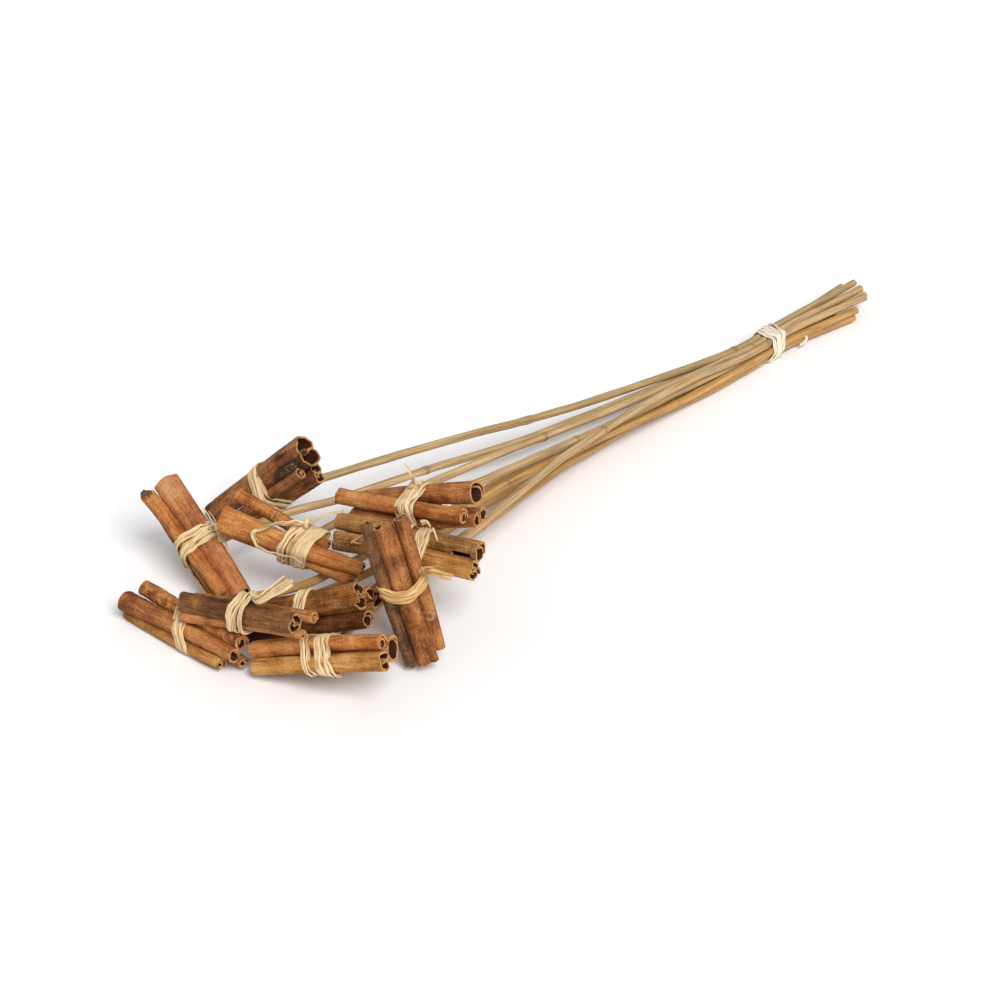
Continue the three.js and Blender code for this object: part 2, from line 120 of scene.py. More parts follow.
def cross_view(front: Vector) -> tuple[Vector, Vector]:
    """Works out how the cross-section of a bundle is seen.

    Args:
        front: the direction away from the viewer, in the pick's axes.

    Returns:
        What looks like away and like upwards, flat.
    """
    away = Vector((front.y, front.z)).normalized()
    up = Vector((-away.y, away.x))
    return away, up if up.y > 0 else -up


def smooth(value: float, low: float, high: float) -> float:
    """Returns 0 below low, 1 above high and a soft step between them."""
    share = min(max((value - low) / (high - low), 0.0), 1.0)
    return share * share * (3 - 2 * share)


def drift(along: float, seed: float) -> Vector:
    """Returns a soft irregular shift that is the same in each run for a place and a seed."""
    return Vector([noise.noise(Vector((along + shift, seed, shift))) for shift in DRIFT_SHIFTS])


@dataclass(frozen=True)
class Unevenness:
    """A soft, irregular unevenness.

    height, length and width are the size of its swells, and shift keeps it unlike the others of
    the same seed.
    """

    height: float
    length: float
    width: float
    shift: float

    def at(self, along: float, across: float, seed: float) -> float:
        """Returns how much it rises at a place, from about -height to height."""
        place = Vector((along / self.length, across / self.width, seed * self.shift))
        return self.height * noise.noise(place)


# ---- finishes ----


def colour(code: str) -> tuple[float, float, float, float]:
    """Turns an sRGB hex colour to linear.

    Args:
        code: six hex digits.

    Returns:
        Linear red, green, blue and an alpha of 1.
    """
    shares = [int(code[k : k + 2], 16) / 255 for k in (0, 2, 4)]
    linear = [s / 12.92 if s <= 0.04045 else ((s + 0.055) / 1.055) ** 2.4 for s in shares]
    return (*linear, 1.0)


def add_node(tree: Tree, kind: str, settings: dict[str | int, Any]) -> Any:
    """Adds a node with its settings and links.

    Args:
        tree: the material's node tree.
        kind: the node's type.
        settings: its properties by name and its inputs by name or number. An input takes a
            value, or another node's output, which is joined to it.

    Returns:
        The new node.
    """
    node = tree.nodes.new(kind)
    for key, value in settings.items():
        if isinstance(value, bpy.types.NodeSocket):
            tree.links.new(value, node.inputs[key])
        elif isinstance(key, str) and hasattr(node, key):
            setattr(node, key, value)
        else:
            node.inputs[key].default_value = value
    return node


def new_material(name: str, dress: Callable[[Tree], Any]) -> bpy.types.Material:
    """Makes a material, or finds it if it has been made.

    Args:
        name: the material's name.
        dress: adds the material's nodes and gives its shader's socket.

    Returns:
        The material.
    """
    if name in bpy.data.materials:
        return bpy.data.materials[name]
    material = bpy.data.materials.new(name)
    material.use_nodes = True
    tree = material.node_tree
    tree.nodes.clear()
    add_node(tree, "ShaderNodeOutputMaterial", {"Surface": dress(tree)})
    return material


def pattern(tree: Tree, size: float | tuple[float, float], detail: float) -> Any:
    """Adds an irregular pattern of a real size.

    Args:
        tree: the material's node tree.
        size: the size of its features: one on Object coordinates, or one along and one across
            the sheet on its UV map.
        detail: how many finer layers it has.

    Returns:
        The pattern's value socket.
    """
    on_sheet = isinstance(size, tuple)
    along, across = size if on_sheet else (size, size)
    coords = add_node(tree, "ShaderNodeTexCoord", {}).outputs["UV" if on_sheet else "Object"]
    scale = [1 / (s * MM) for s in (along, across, along)]
    mapped = add_node(tree, "ShaderNodeMapping", {"Vector": coords, "Scale": scale}).outputs[0]
    settings = {"Vector": mapped, "Scale": 1.0, "Detail": detail, "Roughness": 0.6}
    return add_node(tree, "ShaderNodeTexNoise", settings).outputs["Fac"]


def combine(tree: Tree, parts: Iterable[tuple[Any, float]], base: float = 0.5) -> Any:
    """Adds up values that each swing round one half.

    Args:
        tree: the material's node tree.
        parts: pairs of a socket and its weight.
        base: what they are added to.

    Returns:
        The sum's socket.
    """
    total: Any = base
    for source, weight in parts:
        swing = add_node(tree, "ShaderNodeMath", {"operation": "SUBTRACT", 0: source, 1: 0.5}).outputs[0]
        settings = {"operation": "MULTIPLY_ADD", 0: swing, 1: weight, 2: total}
        total = add_node(tree, "ShaderNodeMath", settings).outputs[0]
    return total


def tint(tree: Tree, shade: Any, layers: Iterable[tuple[Any, float, float, float, str]]) -> Any:
    """Lays colours over a shade, each where a value of its own rises.

    Args:
        tree: the material's node tree.
        shade: the first shade, a colour or a socket.
        layers: for each colour its value's socket, the values where it starts and where it is
            full, its largest share and its hex digits.

    Returns:
        The last shade's socket.
    """
    for source, start, full, most, code in layers:
        share = add_node(tree, "ShaderNodeMapRange", {0: source, 1: start, 2: full, 4: most}).outputs[0]
        settings = {"data_type": "RGBA", 0: share, 6: shade, 7: colour(code)}
        shade = add_node(tree, "ShaderNodeMix", settings).outputs[2]
    return shade


def skin(
    tree: Tree,
    shade: Any,
    relief: Any,
    bump: tuple[float, float],
    roughness: Any,
    ior: float,
    specular: float,
) -> Any:
    """Adds the shader of a dry natural skin.

    Args:
        tree: the material's node tree.
        shade: its colour's socket.
        relief: its height's socket.
        bump: how strongly the relief shows and how deep it is.
        roughness: its roughness, a number or a socket.
        ior: its index of refraction.
        specular: the level of its reflection.

    Returns:
        The shader's socket.
    """
    strength, depth = bump
    settings = {"Height": relief, "Strength": strength, "Distance": depth * MM}
    normal = add_node(tree, "ShaderNodeBump", settings).outputs["Normal"]
    settings = {"Base Color": shade, "Normal": normal, "Roughness": roughness, "IOR": ior}
    settings["Specular IOR Level"] = specular
    return add_node(tree, "ShaderNodeBsdfPrincipled", settings).outputs[0]


class Paint(Enum):
    """What can lie on a sheet of bark, each an attribute of its points."""

    # stains, and painted shade in the crease between the two rolls of a double quill; on a reed, its darker
    # joints
    STAIN_AND_SHADE = "stain_and_shade"
    BLOOM = "bloom"
    PEEL = "peel"
    SCAR = "scar"


@dataclass(frozen=True)
class BarkFinish:
    """Dried inner bark of cassia, scraped and rolled by hand: matt, with a fine grain along the
    roll, faint rings across it, pale flecks, dark fissures, stains and painted shade in the
    crease of a double roll."""

    name: str
    dark: str
    middle: str
    light: str
    rings: float = 0.1
    mottle: float = 1.4
    fissures: float = 0.55
    stops: Point = (0.12, 0.5, 0.92)

    def materials(self) -> list[bpy.types.Material]:
        """Returns the materials of the outer face, the inner face and the broken edge."""
        sides = {"outer": self.outer, "inner": self.inner, "edge": self.edge}
        return [new_material(f"dried_bark_{self.name}_{side}", dress) for side, dress in sides.items()]

    def outer(self, tree: Tree) -> Any:
        """Dresses the outer face.

        Args:
            tree: the material's node tree.

        Returns:
            The shader's socket.
        """
        grain = pattern(tree, (9.0, 0.6), 5.0)
        streaks = pattern(tree, (46.0, 3.0), 3.0)
        rings = pattern(tree, (1.3, 9.0), 3.0)
        bands = pattern(tree, (9.0, 40.0), 2.0)
        patches = pattern(tree, 11.0, 7.0)
        clouds = pattern(tree, 30.0, 2.0)
        speckle = pattern(tree, 0.8, 3.0)
        pores = pattern(tree, (1.9, 0.42), 2.0)
        flecks = pattern(tree, 0.8, 2.0)
        cracks, spots = pattern(tree, (26.0, 1.1), 4.0), pattern(tree, 0.9, 2.0)
        stain_and_shade, bloom, peel, scar = (
            add_node(tree, "ShaderNodeAttribute", {"attribute_name": paint.value}).outputs["Fac"]
            for paint in Paint
        )
        swings = (
            (patches, self.mottle), (grain, 1.0), (rings, self.rings * 2), (bands, self.rings * 2),
            (streaks, 1.1), (clouds, 1.0), (speckle, 0.8),
        )
        ramp = add_node(tree, "ShaderNodeValToRGB", {"Fac": combine(tree, swings)})
        stops = ramp.color_ramp.elements
        for stop, position, code in zip(stops, self.stops[::2], (self.dark, self.light)):
            stop.position, stop.color = position, colour(code)
        stops.new(self.stops[1]).color = colour(self.middle)
        crack, spot, deep, roughness = (
            add_node(tree, "ShaderNodeMapRange", settings).outputs[0]
            for settings in (
                {0: cracks, 1: 0.36, 2: 0.31, 4: self.fissures},
                {0: spots, 1: 0.5, 2: 0.6, 4: 0.7},
                {0: stain_and_shade, 1: 0.95, 2: 1.3},
                {0: patches, 1: 0.3, 2: 0.7, 3: 0.62, 4: 0.85},
            )
        )
        blotch = combine(tree, ((speckle, 3.2), (grain, 2.0)), 1.0)
        stained_and_shaded, dusty, lichen = (
            add_node(tree, "ShaderNodeMath", {"operation": "MULTIPLY", 0: first, 1: second}).outputs[0]
            for first, second in ((stain_and_shade, blotch), (bloom, blotch), (deep, spot))
        )
        layers = (
            (crack, 0.0, 1.0, 1.0, "3a2214"),
            (pores, 0.57, 0.68, 0.7, self.dark),
            (flecks, 0.69, 0.77, 0.4, "d9b083"),
            (peel, 0.2, 0.8, 0.7, "c98a4e"),
            # dark stains, and painted shade in the crease of a double roll
            (stained_and_shaded, 0.35, 0.75, 0.85, "2f2118"),
            (lichen, 0.0, 1.0, 1.0, "877f5e"),
            (dusty, 0.3, 0.9, 0.65, "a08574"),
            (scar, 0.3, 0.9, 0.6, "b39a72"),
        )
        shade = tint(tree, ramp.outputs["Color"], layers)
        relief = combine(tree, ((grain, 0.8), (rings, self.rings * 2.4), (speckle, 0.35), (streaks, 0.6)))
        dug = add_node(tree, "ShaderNodeMath", {"operation": "SUBTRACT", 0: relief, 1: crack}).outputs[0]
        return skin(tree, shade, dug, (0.7, 0.9), roughness, 1.45, 0.2)

    def inner(self, tree: Tree) -> Any:
        """Dresses the inner face: smoother, with long fibres, and darker, partly its own colour and partly
        painted shade of the hollow roll.

        Args:
            tree: the material's node tree.

        Returns:
            The shader's socket.
        """
        fibres = pattern(tree, (14.0, 0.6), 4.0)
        tone = combine(tree, ((fibres, 1.3), (pattern(tree, 6.0, 3.0), 1.2)))
        # these dark colours are partly painted shade of the hollow inside the roll
        shade = tint(tree, colour("241209"), ((tone, 0.0, 1.0, 1.0, "573219"),))
        return skin(tree, shade, fibres, (0.5, 0.6), 0.8, 1.45, 0.2)

    def edge(self, tree: Tree) -> Any:
        """Dresses the broken edge: a paler, crumbly layer that shows the wall.

        Args:
            tree: the material's node tree.

        Returns:
            The shader's socket.
        """
        crumbs, darkening = pattern(tree, 0.9, 4.0), pattern(tree, 4.0, 3.0)
        layers = ((crumbs, 0.3, 0.7, 1.0, "d2a06a"), (darkening, 0.5, 0.68, 0.8, "4b2c1a"))
        shade = tint(tree, colour(self.middle), layers)
        return skin(tree, shade, crumbs, (0.7, 0.8), 0.9, 1.45, 0.15)


@dataclass(frozen=True)
class RaffiaFinish:
    """Raffia, a peeled strip of palm leaf: satin, with parallel fibres along the strip, deeper
    golden streaks that are partly painted shade, and painted shade in the grooves between its
    fibres."""

    name: str
    shade: str
    bright: str
    deep: str
    # the colour of the painted shade in the grooves between fibres
    groove_shade: str = "a06c34"

    def material(self) -> bpy.types.Material:
        """Returns the strip's material."""
        return new_material(f"raffia_{self.name}", self.dress)

    def dress(self, tree: Tree) -> Any:
        """Dresses the strip.

        Args:
            tree: the material's node tree.

        Returns:
            The shader's socket.
        """
        fibres, streaks = pattern(tree, (30.0, 0.5), 4.0), pattern(tree, (45.0, 1.2), 3.0)
        layers = (
            (combine(tree, ((fibres, 1.3), (pattern(tree, 7.0, 3.0), 1.1))), 0.0, 1.0, 1.0, self.bright),
            # deeper golden streaks, partly painted shade
            (streaks, 0.56, 0.72, 0.6, self.deep),
            # painted shade in the grooves between fibres
            (streaks, 0.46, 0.36, 0.8, self.groove_shade),
        )
        shade = tint(tree, colour(self.shade), layers)
        relief = combine(tree, ((fibres, 1.0), (streaks, 1.2)))
        return skin(tree, shade, relief, (0.9, 0.8), 0.5, 1.46, 0.4)


@dataclass(frozen=True)
class ReedFinish:
    """Dried, peeled reed: a straw-coloured rod with fine long fibres, weathered patches, brown
    furrows and specks, and a darker ring at each joint."""

    name: str
    shade: str
    bright: str
    weathered: str

    def material(self) -> bpy.types.Material:
        """Returns the rod's material."""
        return new_material(f"dried_reed_{self.name}", self.dress)

    def dress(self, tree: Tree) -> Any:
        """Dresses the rod.

        Args:
            tree: the material's node tree.

        Returns:
            The shader's socket.
        """
        fibres, streaks = pattern(tree, (34.0, 0.5), 4.0), pattern(tree, (52.0, 2.0), 3.0)
        patches = pattern(tree, (30.0, 10.0), 5.0)
        furrows, specks = pattern(tree, (44.0, 1.1), 3.0), pattern(tree, (2.4, 0.7), 2.0)
        joint = add_node(tree, "ShaderNodeAttribute", {"attribute_name": Paint.STAIN_AND_SHADE.value}).outputs["Fac"]
        tone = combine(tree, ((fibres, 1.5), (streaks, 2.0), (patches, 1.0)))
        layers = (
            (tone, 0.0, 1.0, 1.0, self.bright),
            (patches, 0.5, 0.68, 0.65, self.weathered),
            (furrows, 0.4, 0.33, 0.6, "6b4826"),
            (specks, 0.66, 0.74, 0.6, "6b4d2c"),
            (joint, 0.2, 0.9, 0.6, "7c5a33"),
        )
        shade = tint(tree, colour(self.shade), layers)
        relief = combine(tree, ((fibres, 0.8), (streaks, 0.6)))
        return skin(tree, shade, relief, (0.7, 0.7), 0.52, 1.47, 0.35)


class Bark(Enum):
    """The kinds of bark in the bunch, from the darkest to the lightest."""

    CHESTNUT = BarkFinish("chestnut", "2c150a", "592f15", "835127")
    HAZEL = BarkFinish("hazel", "3c2311", "714628", "9c6b3e", rings=0.15)
    ASH = BarkFinish("ash", "452c1a", "7b5436", "a67c54", rings=0.15)
    WALNUT = BarkFinish("walnut", "43260f", "8a5432", "b07c4c", rings=0.15)
    UMBER = BarkFinish("umber", "4a270f", "895627", "b77c40")
    OLIVE = BarkFinish("olive", "553817", "946639", "bd8c54")
    TEAK = BarkFinish("teak", "552c13", "945a30", "bd8450")
    RUSSET = BarkFinish("russet", "6a3718", "a06337", "ca8d54")
    COPPER = BarkFinish("copper", "74401c", "ab6a38", "d0945a", rings=0.35)
    SIENNA = BarkFinish("sienna", "783f24", "ac6c40", "c8905e", mottle=1.2)
    HONEY = BarkFinish("honey", "7e4d1c", "ac743b", "cd9d5e")
    AMBER = BarkFinish("amber", "82461b", "b4703a", "d39a5c")


class Raffia(Enum):
    """The kinds of raffia in the bunch."""

    CREAM = RaffiaFinish("cream", "d0a86e", "fbe5bb", "c39450")
    GOLD = RaffiaFinish("gold", "b3803f", "f0cc8e", "98662c")
    PALE = RaffiaFinish("pale", "e6d6b8", "fdf6ea", "d9c19a", "c2a078")


class Reed(Enum):
    """The kinds of reed in the bunch."""

    PALE = ReedFinish("pale", "967347", "dab98a", "8f7a5e")
    OLIVE = ReedFinish("olive", "8a6f43", "d0af7e", "8c7550")
    GOLD = ReedFinish("gold", "9b6d38", "d8a96a", "8b6a3c")


# ---- sheets ----


def make_active(*pieces: Piece) -> None:
    """Selects nothing but some pieces, and makes the first one active.

    Args:
        pieces: the pieces, or none.
    """
    bpy.ops.object.select_all(action="DESELECT")
    for piece in pieces:
        piece.select_set(True)
    bpy.context.view_layer.objects.active = pieces[0] if pieces else None


def flat_sheet(name: str, long_steps: int, cross_steps: int) -> Piece:
    """Adds a flat gridded sheet, one unit long and wide.

    Args:
        name: the new piece's name.
        long_steps: divisions along the sheet.
        cross_steps: divisions across it.

    Returns:
        The sheet, with a UV map.
    """
    make_active()
    bpy.ops.mesh.primitive_grid_add(x_subdivisions=long_steps, y_subdivisions=cross_steps, size=1)
    sheet = bpy.context.object
    sheet.name = name
    sheet.data.name = name
    return sheet


def lay_sheet(sheet: Piece, place: Place, size: tuple[float, float], seed: float) -> None:
    """Moves every point of a flat sheet to where it lies on the finished piece.

    Args:
        sheet: the flat sheet.
        place: gives the place of a point from its shares along and across.
        size: the sheet's real length and width, for its UV map in metres.
        seed: moves the UV map, so that no two sheets have the same marks.
    """
    for vertex in sheet.data.vertices:
        vertex.co = place(vertex.co.x + 0.5, vertex.co.y + 0.5)
    for corner in sheet.data.uv_layers[0].data:
        corner.uv = [corner.uv[k] * size[k] * MM + seed * UV_SHIFT[k] for k in (0, 1)]


def in_edit_mode(piece: Piece, *steps: Callable[[], Any], pick_all: bool = True) -> None:
    """Runs edit-mode operators on one piece.

    Args:
        piece: the piece.
        steps: the operators, in order.
        pick_all: whether everything is selected first.
    """
    make_active(piece)
    bpy.ops.object.mode_set(mode="EDIT")
    if pick_all:
        bpy.ops.mesh.select_all(action="SELECT")
    for step in steps:
        step()
    bpy.ops.object.mode_set(mode="OBJECT")


def join_edges(sheet: Piece) -> None:
    """Joins the edges of a closed sheet where they meet, and turns its faces outwards.

    Args:
        sheet: the laid sheet.
    """
    in_edit_mode(
        sheet,
        lambda: bpy.ops.mesh.remove_doubles(threshold=WELD),
        lambda: bpy.ops.mesh.normals_make_consistent(inside=False),
    )


def thicken(sheet: Piece, thickness: float, slots: bool = False) -> None:
    """Gives a sheet its thickness, half to each side.

    Args:
        sheet: the laid sheet.
        thickness: the wall.
        slots: whether the inner face and the edge take the second and third material.
    """
    make_active(sheet)
    wall = sheet.modifiers.new("wall", "SOLIDIFY")
    wall.thickness = thickness
    wall.offset = 0
    if slots:
        wall.material_offset = 1
        wall.material_offset_rim = 2
    bpy.ops.object.modifier_apply(modifier="wall")


def put_in_place(piece: Piece, matrix: Matrix) -> None:
    """Brings a mesh from its own millimetres to its place in the bunch, in metres."""
    piece.data.transform(Matrix.Scale(MM, 4) @ Matrix.Translation(-ORIGIN) @ matrix)
    piece.data.update()


def round_off(piece: Piece, angle: float) -> None:
    """Shades a piece smooth, except at edges sharper than the angle in degrees."""
    make_active(piece)
    bpy.ops.object.shade_smooth_by_angle(angle=math.radians(angle))


def circle(reach: float, steps: int, middle: Iterable[float] = (0.0, 0.0)) -> list[Vector]:
    """Draws a circle.

    Args:
        reach: its radius.
        steps: how many points it has.
        middle: its middle, flat.

    Returns:
        The points, flat.
    """
    x, y = middle
    angles = [step * 2 * math.pi / steps for step in range(steps)]
    return [Vector((x + reach * math.cos(angle), y + reach * math.sin(angle))) for angle in angles]


def spread(points: list[Vector], count: int, closed: bool = False) -> list[Vector]:
    """Spaces points evenly along a broken line.

    Args:
        points: the line's corners.
        count: how many steps to cut it into.
        closed: whether it returns to its first point.

    Returns:
        count + 1 points, or count points of a closed line.
    """
    line = points + [points[0]] if closed else points
    reach = [0.0]
    for before, after in zip(line, line[1:]):
        reach.append(reach[-1] + (after - before).length)
    made, k = [], 0
    for step in range(count if closed else count + 1):
        goal = reach[-1] * step / count
        while k < len(line) - 2 and reach[k + 1] < goal:
            k += 1
        share = (goal - reach[k]) / max(reach[k + 1] - reach[k], 1e-9)
        made.append(line[k].lerp(line[k + 1], min(share, 1.0)))
    return made


def line_length(points: list[Vector]) -> float:
    """Returns the length of a broken line."""
    return sum((after - before).length for before, after in zip(points, points[1:]))


def course(path: list[Vector], k: int, closed: bool = False) -> Vector:
    """Says which way a line runs at one of its points.

    Args:
        path: the line's points.
        k: the point's number.
        closed: whether the line returns to its first point.

    Returns:
        The unit direction.
    """
    last = len(path) - 1
    if closed:
        return (path[(k + 1) % len(path)] - path[k - 1]).normalized()
    return (path[min(k + 1, last)] - path[max(k - 1, 0)]).normalized()


def smooth_line(points: list[Vector], per_span: int = 12) -> list[Vector]:
    """Draws a centripetal Catmull-Rom curve through points.

    Args:
        points: the points that it passes through.
        per_span: how many steps lie between two of them.

    Returns:
        The curve's points.
    """
    ends = [points[0] * 2 - points[1], *points, points[-1] * 2 - points[-2]]
    made = []
    for p0, p1, p2, p3 in zip(ends, ends[1:], ends[2:], ends[3:]):
        t1 = (p1 - p0).length ** 0.5
        t2 = t1 + (p2 - p1).length ** 0.5
        t3 = t2 + (p3 - p2).length ** 0.5
        for step in range(per_span):
            t = t1 + (t2 - t1) * step / per_span
            a1 = p0.lerp(p1, t / t1)
            a2 = p1.lerp(p2, (t - t1) / (t2 - t1))
            a3 = p2.lerp(p3, (t - t2) / (t3 - t2))
            b1 = a1.lerp(a2, t / t2)
            b2 = a2.lerp(a3, (t - t1) / (t3 - t1))
            made.append(b1.lerp(b2, (t - t1) / (t2 - t1)))
    return [*made, points[-1].copy()]


# ---- bark quills ----

# The unevenness of a sheet, along the roll and round it. A height of 1 or 2 is that of a quill
# whose waves, rings or flakes are 1 deep.
WAVES = Unevenness(height=1, length=24, width=5.5, shift=7.3)
LUMPS = Unevenness(height=0.14, length=6, width=3.2, shift=2.9)
RINGS = Unevenness(height=2, length=1.7, width=11, shift=4.1)
FLAKES = Unevenness(height=1, length=3.4, width=2.4, shift=11)
PEELED = Unevenness(height=1, length=3.0, width=1.8, shift=11)
GIRTH_SWELL = 0.02  # how much the girth of a quill comes and goes
GIRTH_SWELL_LENGTH = 18
NOTCHES_PER_MM = 0.22
SPLINTERS_PER_MM = 0.8
LONGEST_SPLINTER = 0.6


class Form(Enum):
    """How a sheet of bark is rolled up."""

    SINGLE = "from one edge"
    DOUBLE = "from both edges"
    STRIP = "hardly at all"


@dataclass(frozen=True)
class Mark:
    """A soft spot on the side of a quill that shows, in the pick's own axes.

    along and up are its middle, and length and height how far it reaches. A scar is the pale rim
    of a knot, and its reach is that of the rim.
    """

    paint: Paint
    along: float
    up: float
    length: float
    height: float
    strength: float = 1.0

    def share(self, along: float, up: float, uneven: float) -> float:
        """Says how strongly the mark shows at a place.

        Args:
            along: how far along the pick the place is.
            up: how far up it is.
            uneven: bends and breaks the rim of a scar.

        Returns:
            The strength.
        """
        off = ((along - self.along) / self.length) ** 2 + ((up - self.up) / self.height) ** 2
        if self.paint is Paint.SCAR:
            off = ((math.sqrt(off) - 1 + 0.7 * uneven) / 0.4) ** 2 + max(1.6 * uneven, 0)
        return self.strength * math.exp(-off)


@dataclass(frozen=True)
class Tear:
    """A piece broken out of the side of a quill that shows, between two places along and up."""

    along: tuple[float, float]
    up: tuple[float, float]

    def holds(self, along: float, up: float) -> bool:
        """Says whether a place is inside the tear."""
        return self.along[0] < along < self.along[1] and self.up[0] < up < self.up[1]


@dataclass(frozen=True)
class BarkQuill:
    """One sheet of bark, rolled up.

    width, height and length are its outside, and at is its middle. yaw and tilt turn it in its
    pick, face turns the roll about its own axis and lean the squeezed roll. taper is how much it
    grows towards its right end, and ragged says how unevenly its left and right ends are broken.
    rings, waves, flakes and bow are the depth of its unevenness, and seam is half the distance
    between the middles of the two edges of a double roll, in walls: at less than a half the edges
    are pressed into each other.
    """

    form: Form
    width: float
    length: float
    at: Point
    bark: Bark
    height: float = 0.0
    yaw: float = 0.0
    tilt: float = 0.0
    taper: float = 0.0
    face: float = 0.0
    lean: float = 0.0
    turns: float = 1.7
    ragged: tuple[float, float] = (0.6, 0.7)
    rings: float = 0.06
    waves: float = 0.36
    flakes: float = 0.0
    bow: float = 0.7
    seam: float = 0.25
    marks: tuple[Mark, ...] = ()
    tears: tuple[Tear, ...] = ()

    @property
    def depth(self) -> float:
        """The section's height, or its width if it is round."""
        return self.height or self.width

    @property
    def wall(self) -> float:
        """The thickness of one layer of bark."""
        return min(BARK_WALL, WALL_SHARE * min(self.width, self.depth))

    def single_line(self) -> list[Vector]:
        """Draws a sheet that is rolled up from one edge.

        Returns:
            The middle of the sheet, flat.
        """
        turns = 0.5 if self.form is Form.STRIP else self.turns
        start = (self.width - self.wall) / 2
        shrink = self.wall + ROLL_AIR * self.wall / BARK_WALL
        points = []
        for step in range(int(turns * 360 / CURL_STEP) + 1):
            turn = step * CURL_STEP / 360
            reach = max(start - shrink * turn, self.wall * TIGHTEST_CURL)
            angle = turn * 2 * math.pi
            points.append(Vector((reach * math.cos(angle), reach * math.sin(angle))))
        return points

    def double_line(self) -> list[Vector]:
        """Draws a sheet whose two edges roll in towards each other.

        Returns:
            The middle of the sheet, flat.
        """
        lobe = (self.depth - self.wall) / 2
        centre = self.width / 2 - self.depth / 2
        seam_half = self.wall * self.seam
        seam = max(centre - seam_half, self.wall / 2 + 0.1)
        curl = SEAM_SWING + INWARD_SWING * min(max(self.turns - 1, 0), 1)
        half = []
        for step in range(int(curl / CURL_STEP) + 1):
            swing = step * CURL_STEP
            reach = lobe + (seam - lobe) * min(swing / SEAM_SWING, 1.0) ** 4
            inward = max(swing - SEAM_SWING, 0) / INWARD_SWING
            reach = max(reach - self.wall * 0.9 * inward, self.wall * TIGHTEST_CURL)
            angle = math.radians(swing - 90)
            across = max(centre + reach * math.cos(angle), seam_half if step else 0)
            half.append(Vector((across, reach * math.sin(angle))))
        return [Vector((-p.x, p.y)) for p in reversed(half)] + half

    def section(self) -> list[Vector]:
        """Draws the rolled sheet as it lies.

        Returns:
            The middle of the sheet, seen along the quill.
        """
        line = self.double_line() if self.form is Form.DOUBLE else self.single_line()
        stretch = 1.0 if self.form is Form.DOUBLE else self.depth / self.width
        face = Matrix.Rotation(math.radians(self.face), 2)
        lean = Matrix.Rotation(math.radians(self.lean), 2)
        turned = [face @ p for p in line]
        return [lean @ Vector((p.x, p.y * stretch)) for p in turned]

    def scale(self, along: float) -> float:
        """Returns the section's growth at a place along the quill."""
        return FULLNESS * (1 + self.taper * along / (self.length / 2))

    def matrix(self) -> Matrix:
        """Works out the quill's place.

        Returns:
            Its matrix in the pick's axes.
        """
        turn = Matrix.Rotation(math.radians(self.yaw), 4, "Z")
        return Matrix.Translation(self.at) @ turn @ Matrix.Rotation(math.radians(-self.tilt), 4, "Y")

    def ring(self, along: float) -> list[Vector]:
        """Draws the quill's outside where a tie crosses it.

        Args:
            along: how far along the pick that is.

        Returns:
            The outside in the pick's axes, flat.
        """
        reach = along - self.at[0]
        grown = self.scale(reach) * (1 + self.wall / self.width)
        points = [self.matrix() @ Vector((reach, p.x * grown, p.y * grown)) for p in self.section()]
        return [Vector((p.y, p.z)) for p in points]

    def build(self, name: str, seed: float, front: Vector) -> Piece:
        """Rolls the sheet up, roughens it, tears its ends and gives it its thickness.

        Args:
            name: the piece's name.
            seed: makes this quill unlike the others.
            front: the direction away from the viewer, in the pick's axes.

        Returns:
            The quill in the pick's axes, in millimetres.
        """
        line = self.section()
        total = line_length(line)
        across = max(int(total / SHEET_STEP), 12)
        points = spread(line, across)
        ways = [course(points, k) for k in range(across + 1)]
        half = self.length / 2
        in_pick = self.matrix()
        bend = Vector((math.cos(seed * 2.4), math.sin(seed * 2.4))) * self.bow

        def broken(arc: float, end: int) -> float:
            """Says how far the sheet is broken off at an end.

            Args:
                arc: a place across the flat sheet.
                end: 1 at the end that the pick's X axis points to, -1 at the other.

            Returns:
                How much shorter it is there, less than 0 where a splinter stands out.
            """
            coarse = noise.noise(Vector((arc * NOTCHES_PER_MM, seed * 3.1, end * 9.0)))
            fine = noise.noise(Vector((arc * SPLINTERS_PER_MM, seed * 1.7, end * 5.0)))
            return self.ragged[max(end, 0)] * (0.3 + 1.2 * coarse + 0.5 * fine)

        def place(u: float, v: float) -> Vector:
            """Places a point of the flat sheet once it is rolled up.

            Args:
                u: how far along the sheet, from 0 to 1.
                v: how far across it, from 0 to 1.

            Returns:
                Where the point lies.
            """
            k = min(int(round(v * across)), across)
            arc, reach = v * total, (u - 0.5) * self.length
            end = 1 if reach > 0 else -1
            near = smooth(abs(reach), half - END_ZONE, half)
            reach -= end * near * max(broken(arc, end), -LONGEST_SPLINTER)
            relief = self.waves * WAVES.at(reach, arc, seed) * (1 + near)
            relief += LUMPS.at(reach, arc, seed) + self.rings * RINGS.at(reach, arc, seed)
            relief -= self.flakes * smooth(FLAKES.at(reach, arc, seed), 0.02, 0.2)
            swell = GIRTH_SWELL * noise.noise(Vector((reach / GIRTH_SWELL_LENGTH, seed * 5, 0)))
            flat = points[k] * self.scale(reach) * (1 + swell) + Vector((ways[k].y, -ways[k].x)) * relief
            flat += bend * (1 - (reach / half) ** 2)
            return in_pick @ Vector((reach, flat.x, flat.y))

        sheet = flat_sheet(name, int(self.length / SHEET_STEP), across)
        lay_sheet(sheet, place, (self.length, total), seed)
        in_edit_mode(sheet, bpy.ops.mesh.flip_normals)
        if self.tears:
            self.break_out(sheet, front, seed)
        self.paint(sheet, front, seed)
        for material in self.bark.value.materials():
            sheet.data.materials.append(material)
        thicken(sheet, self.wall, slots=True)
        round_off(sheet, CORNER)
        return sheet

    def seen(self, point: Vector, front: Vector) -> tuple[float, float, bool]:
        """Says where a point lies on the side that shows.

        Args:
            point: a point in the pick's axes.
            front: the direction away from the viewer, in the pick's axes.

        Returns:
            How far along and up it is, and whether it is on that side of the quill.
        """
        away, up = cross_view(front)
        flat = Vector((point.y, point.z))
        return point.x, flat.dot(up), (flat - Vector(self.at[1:])).dot(away) < 0

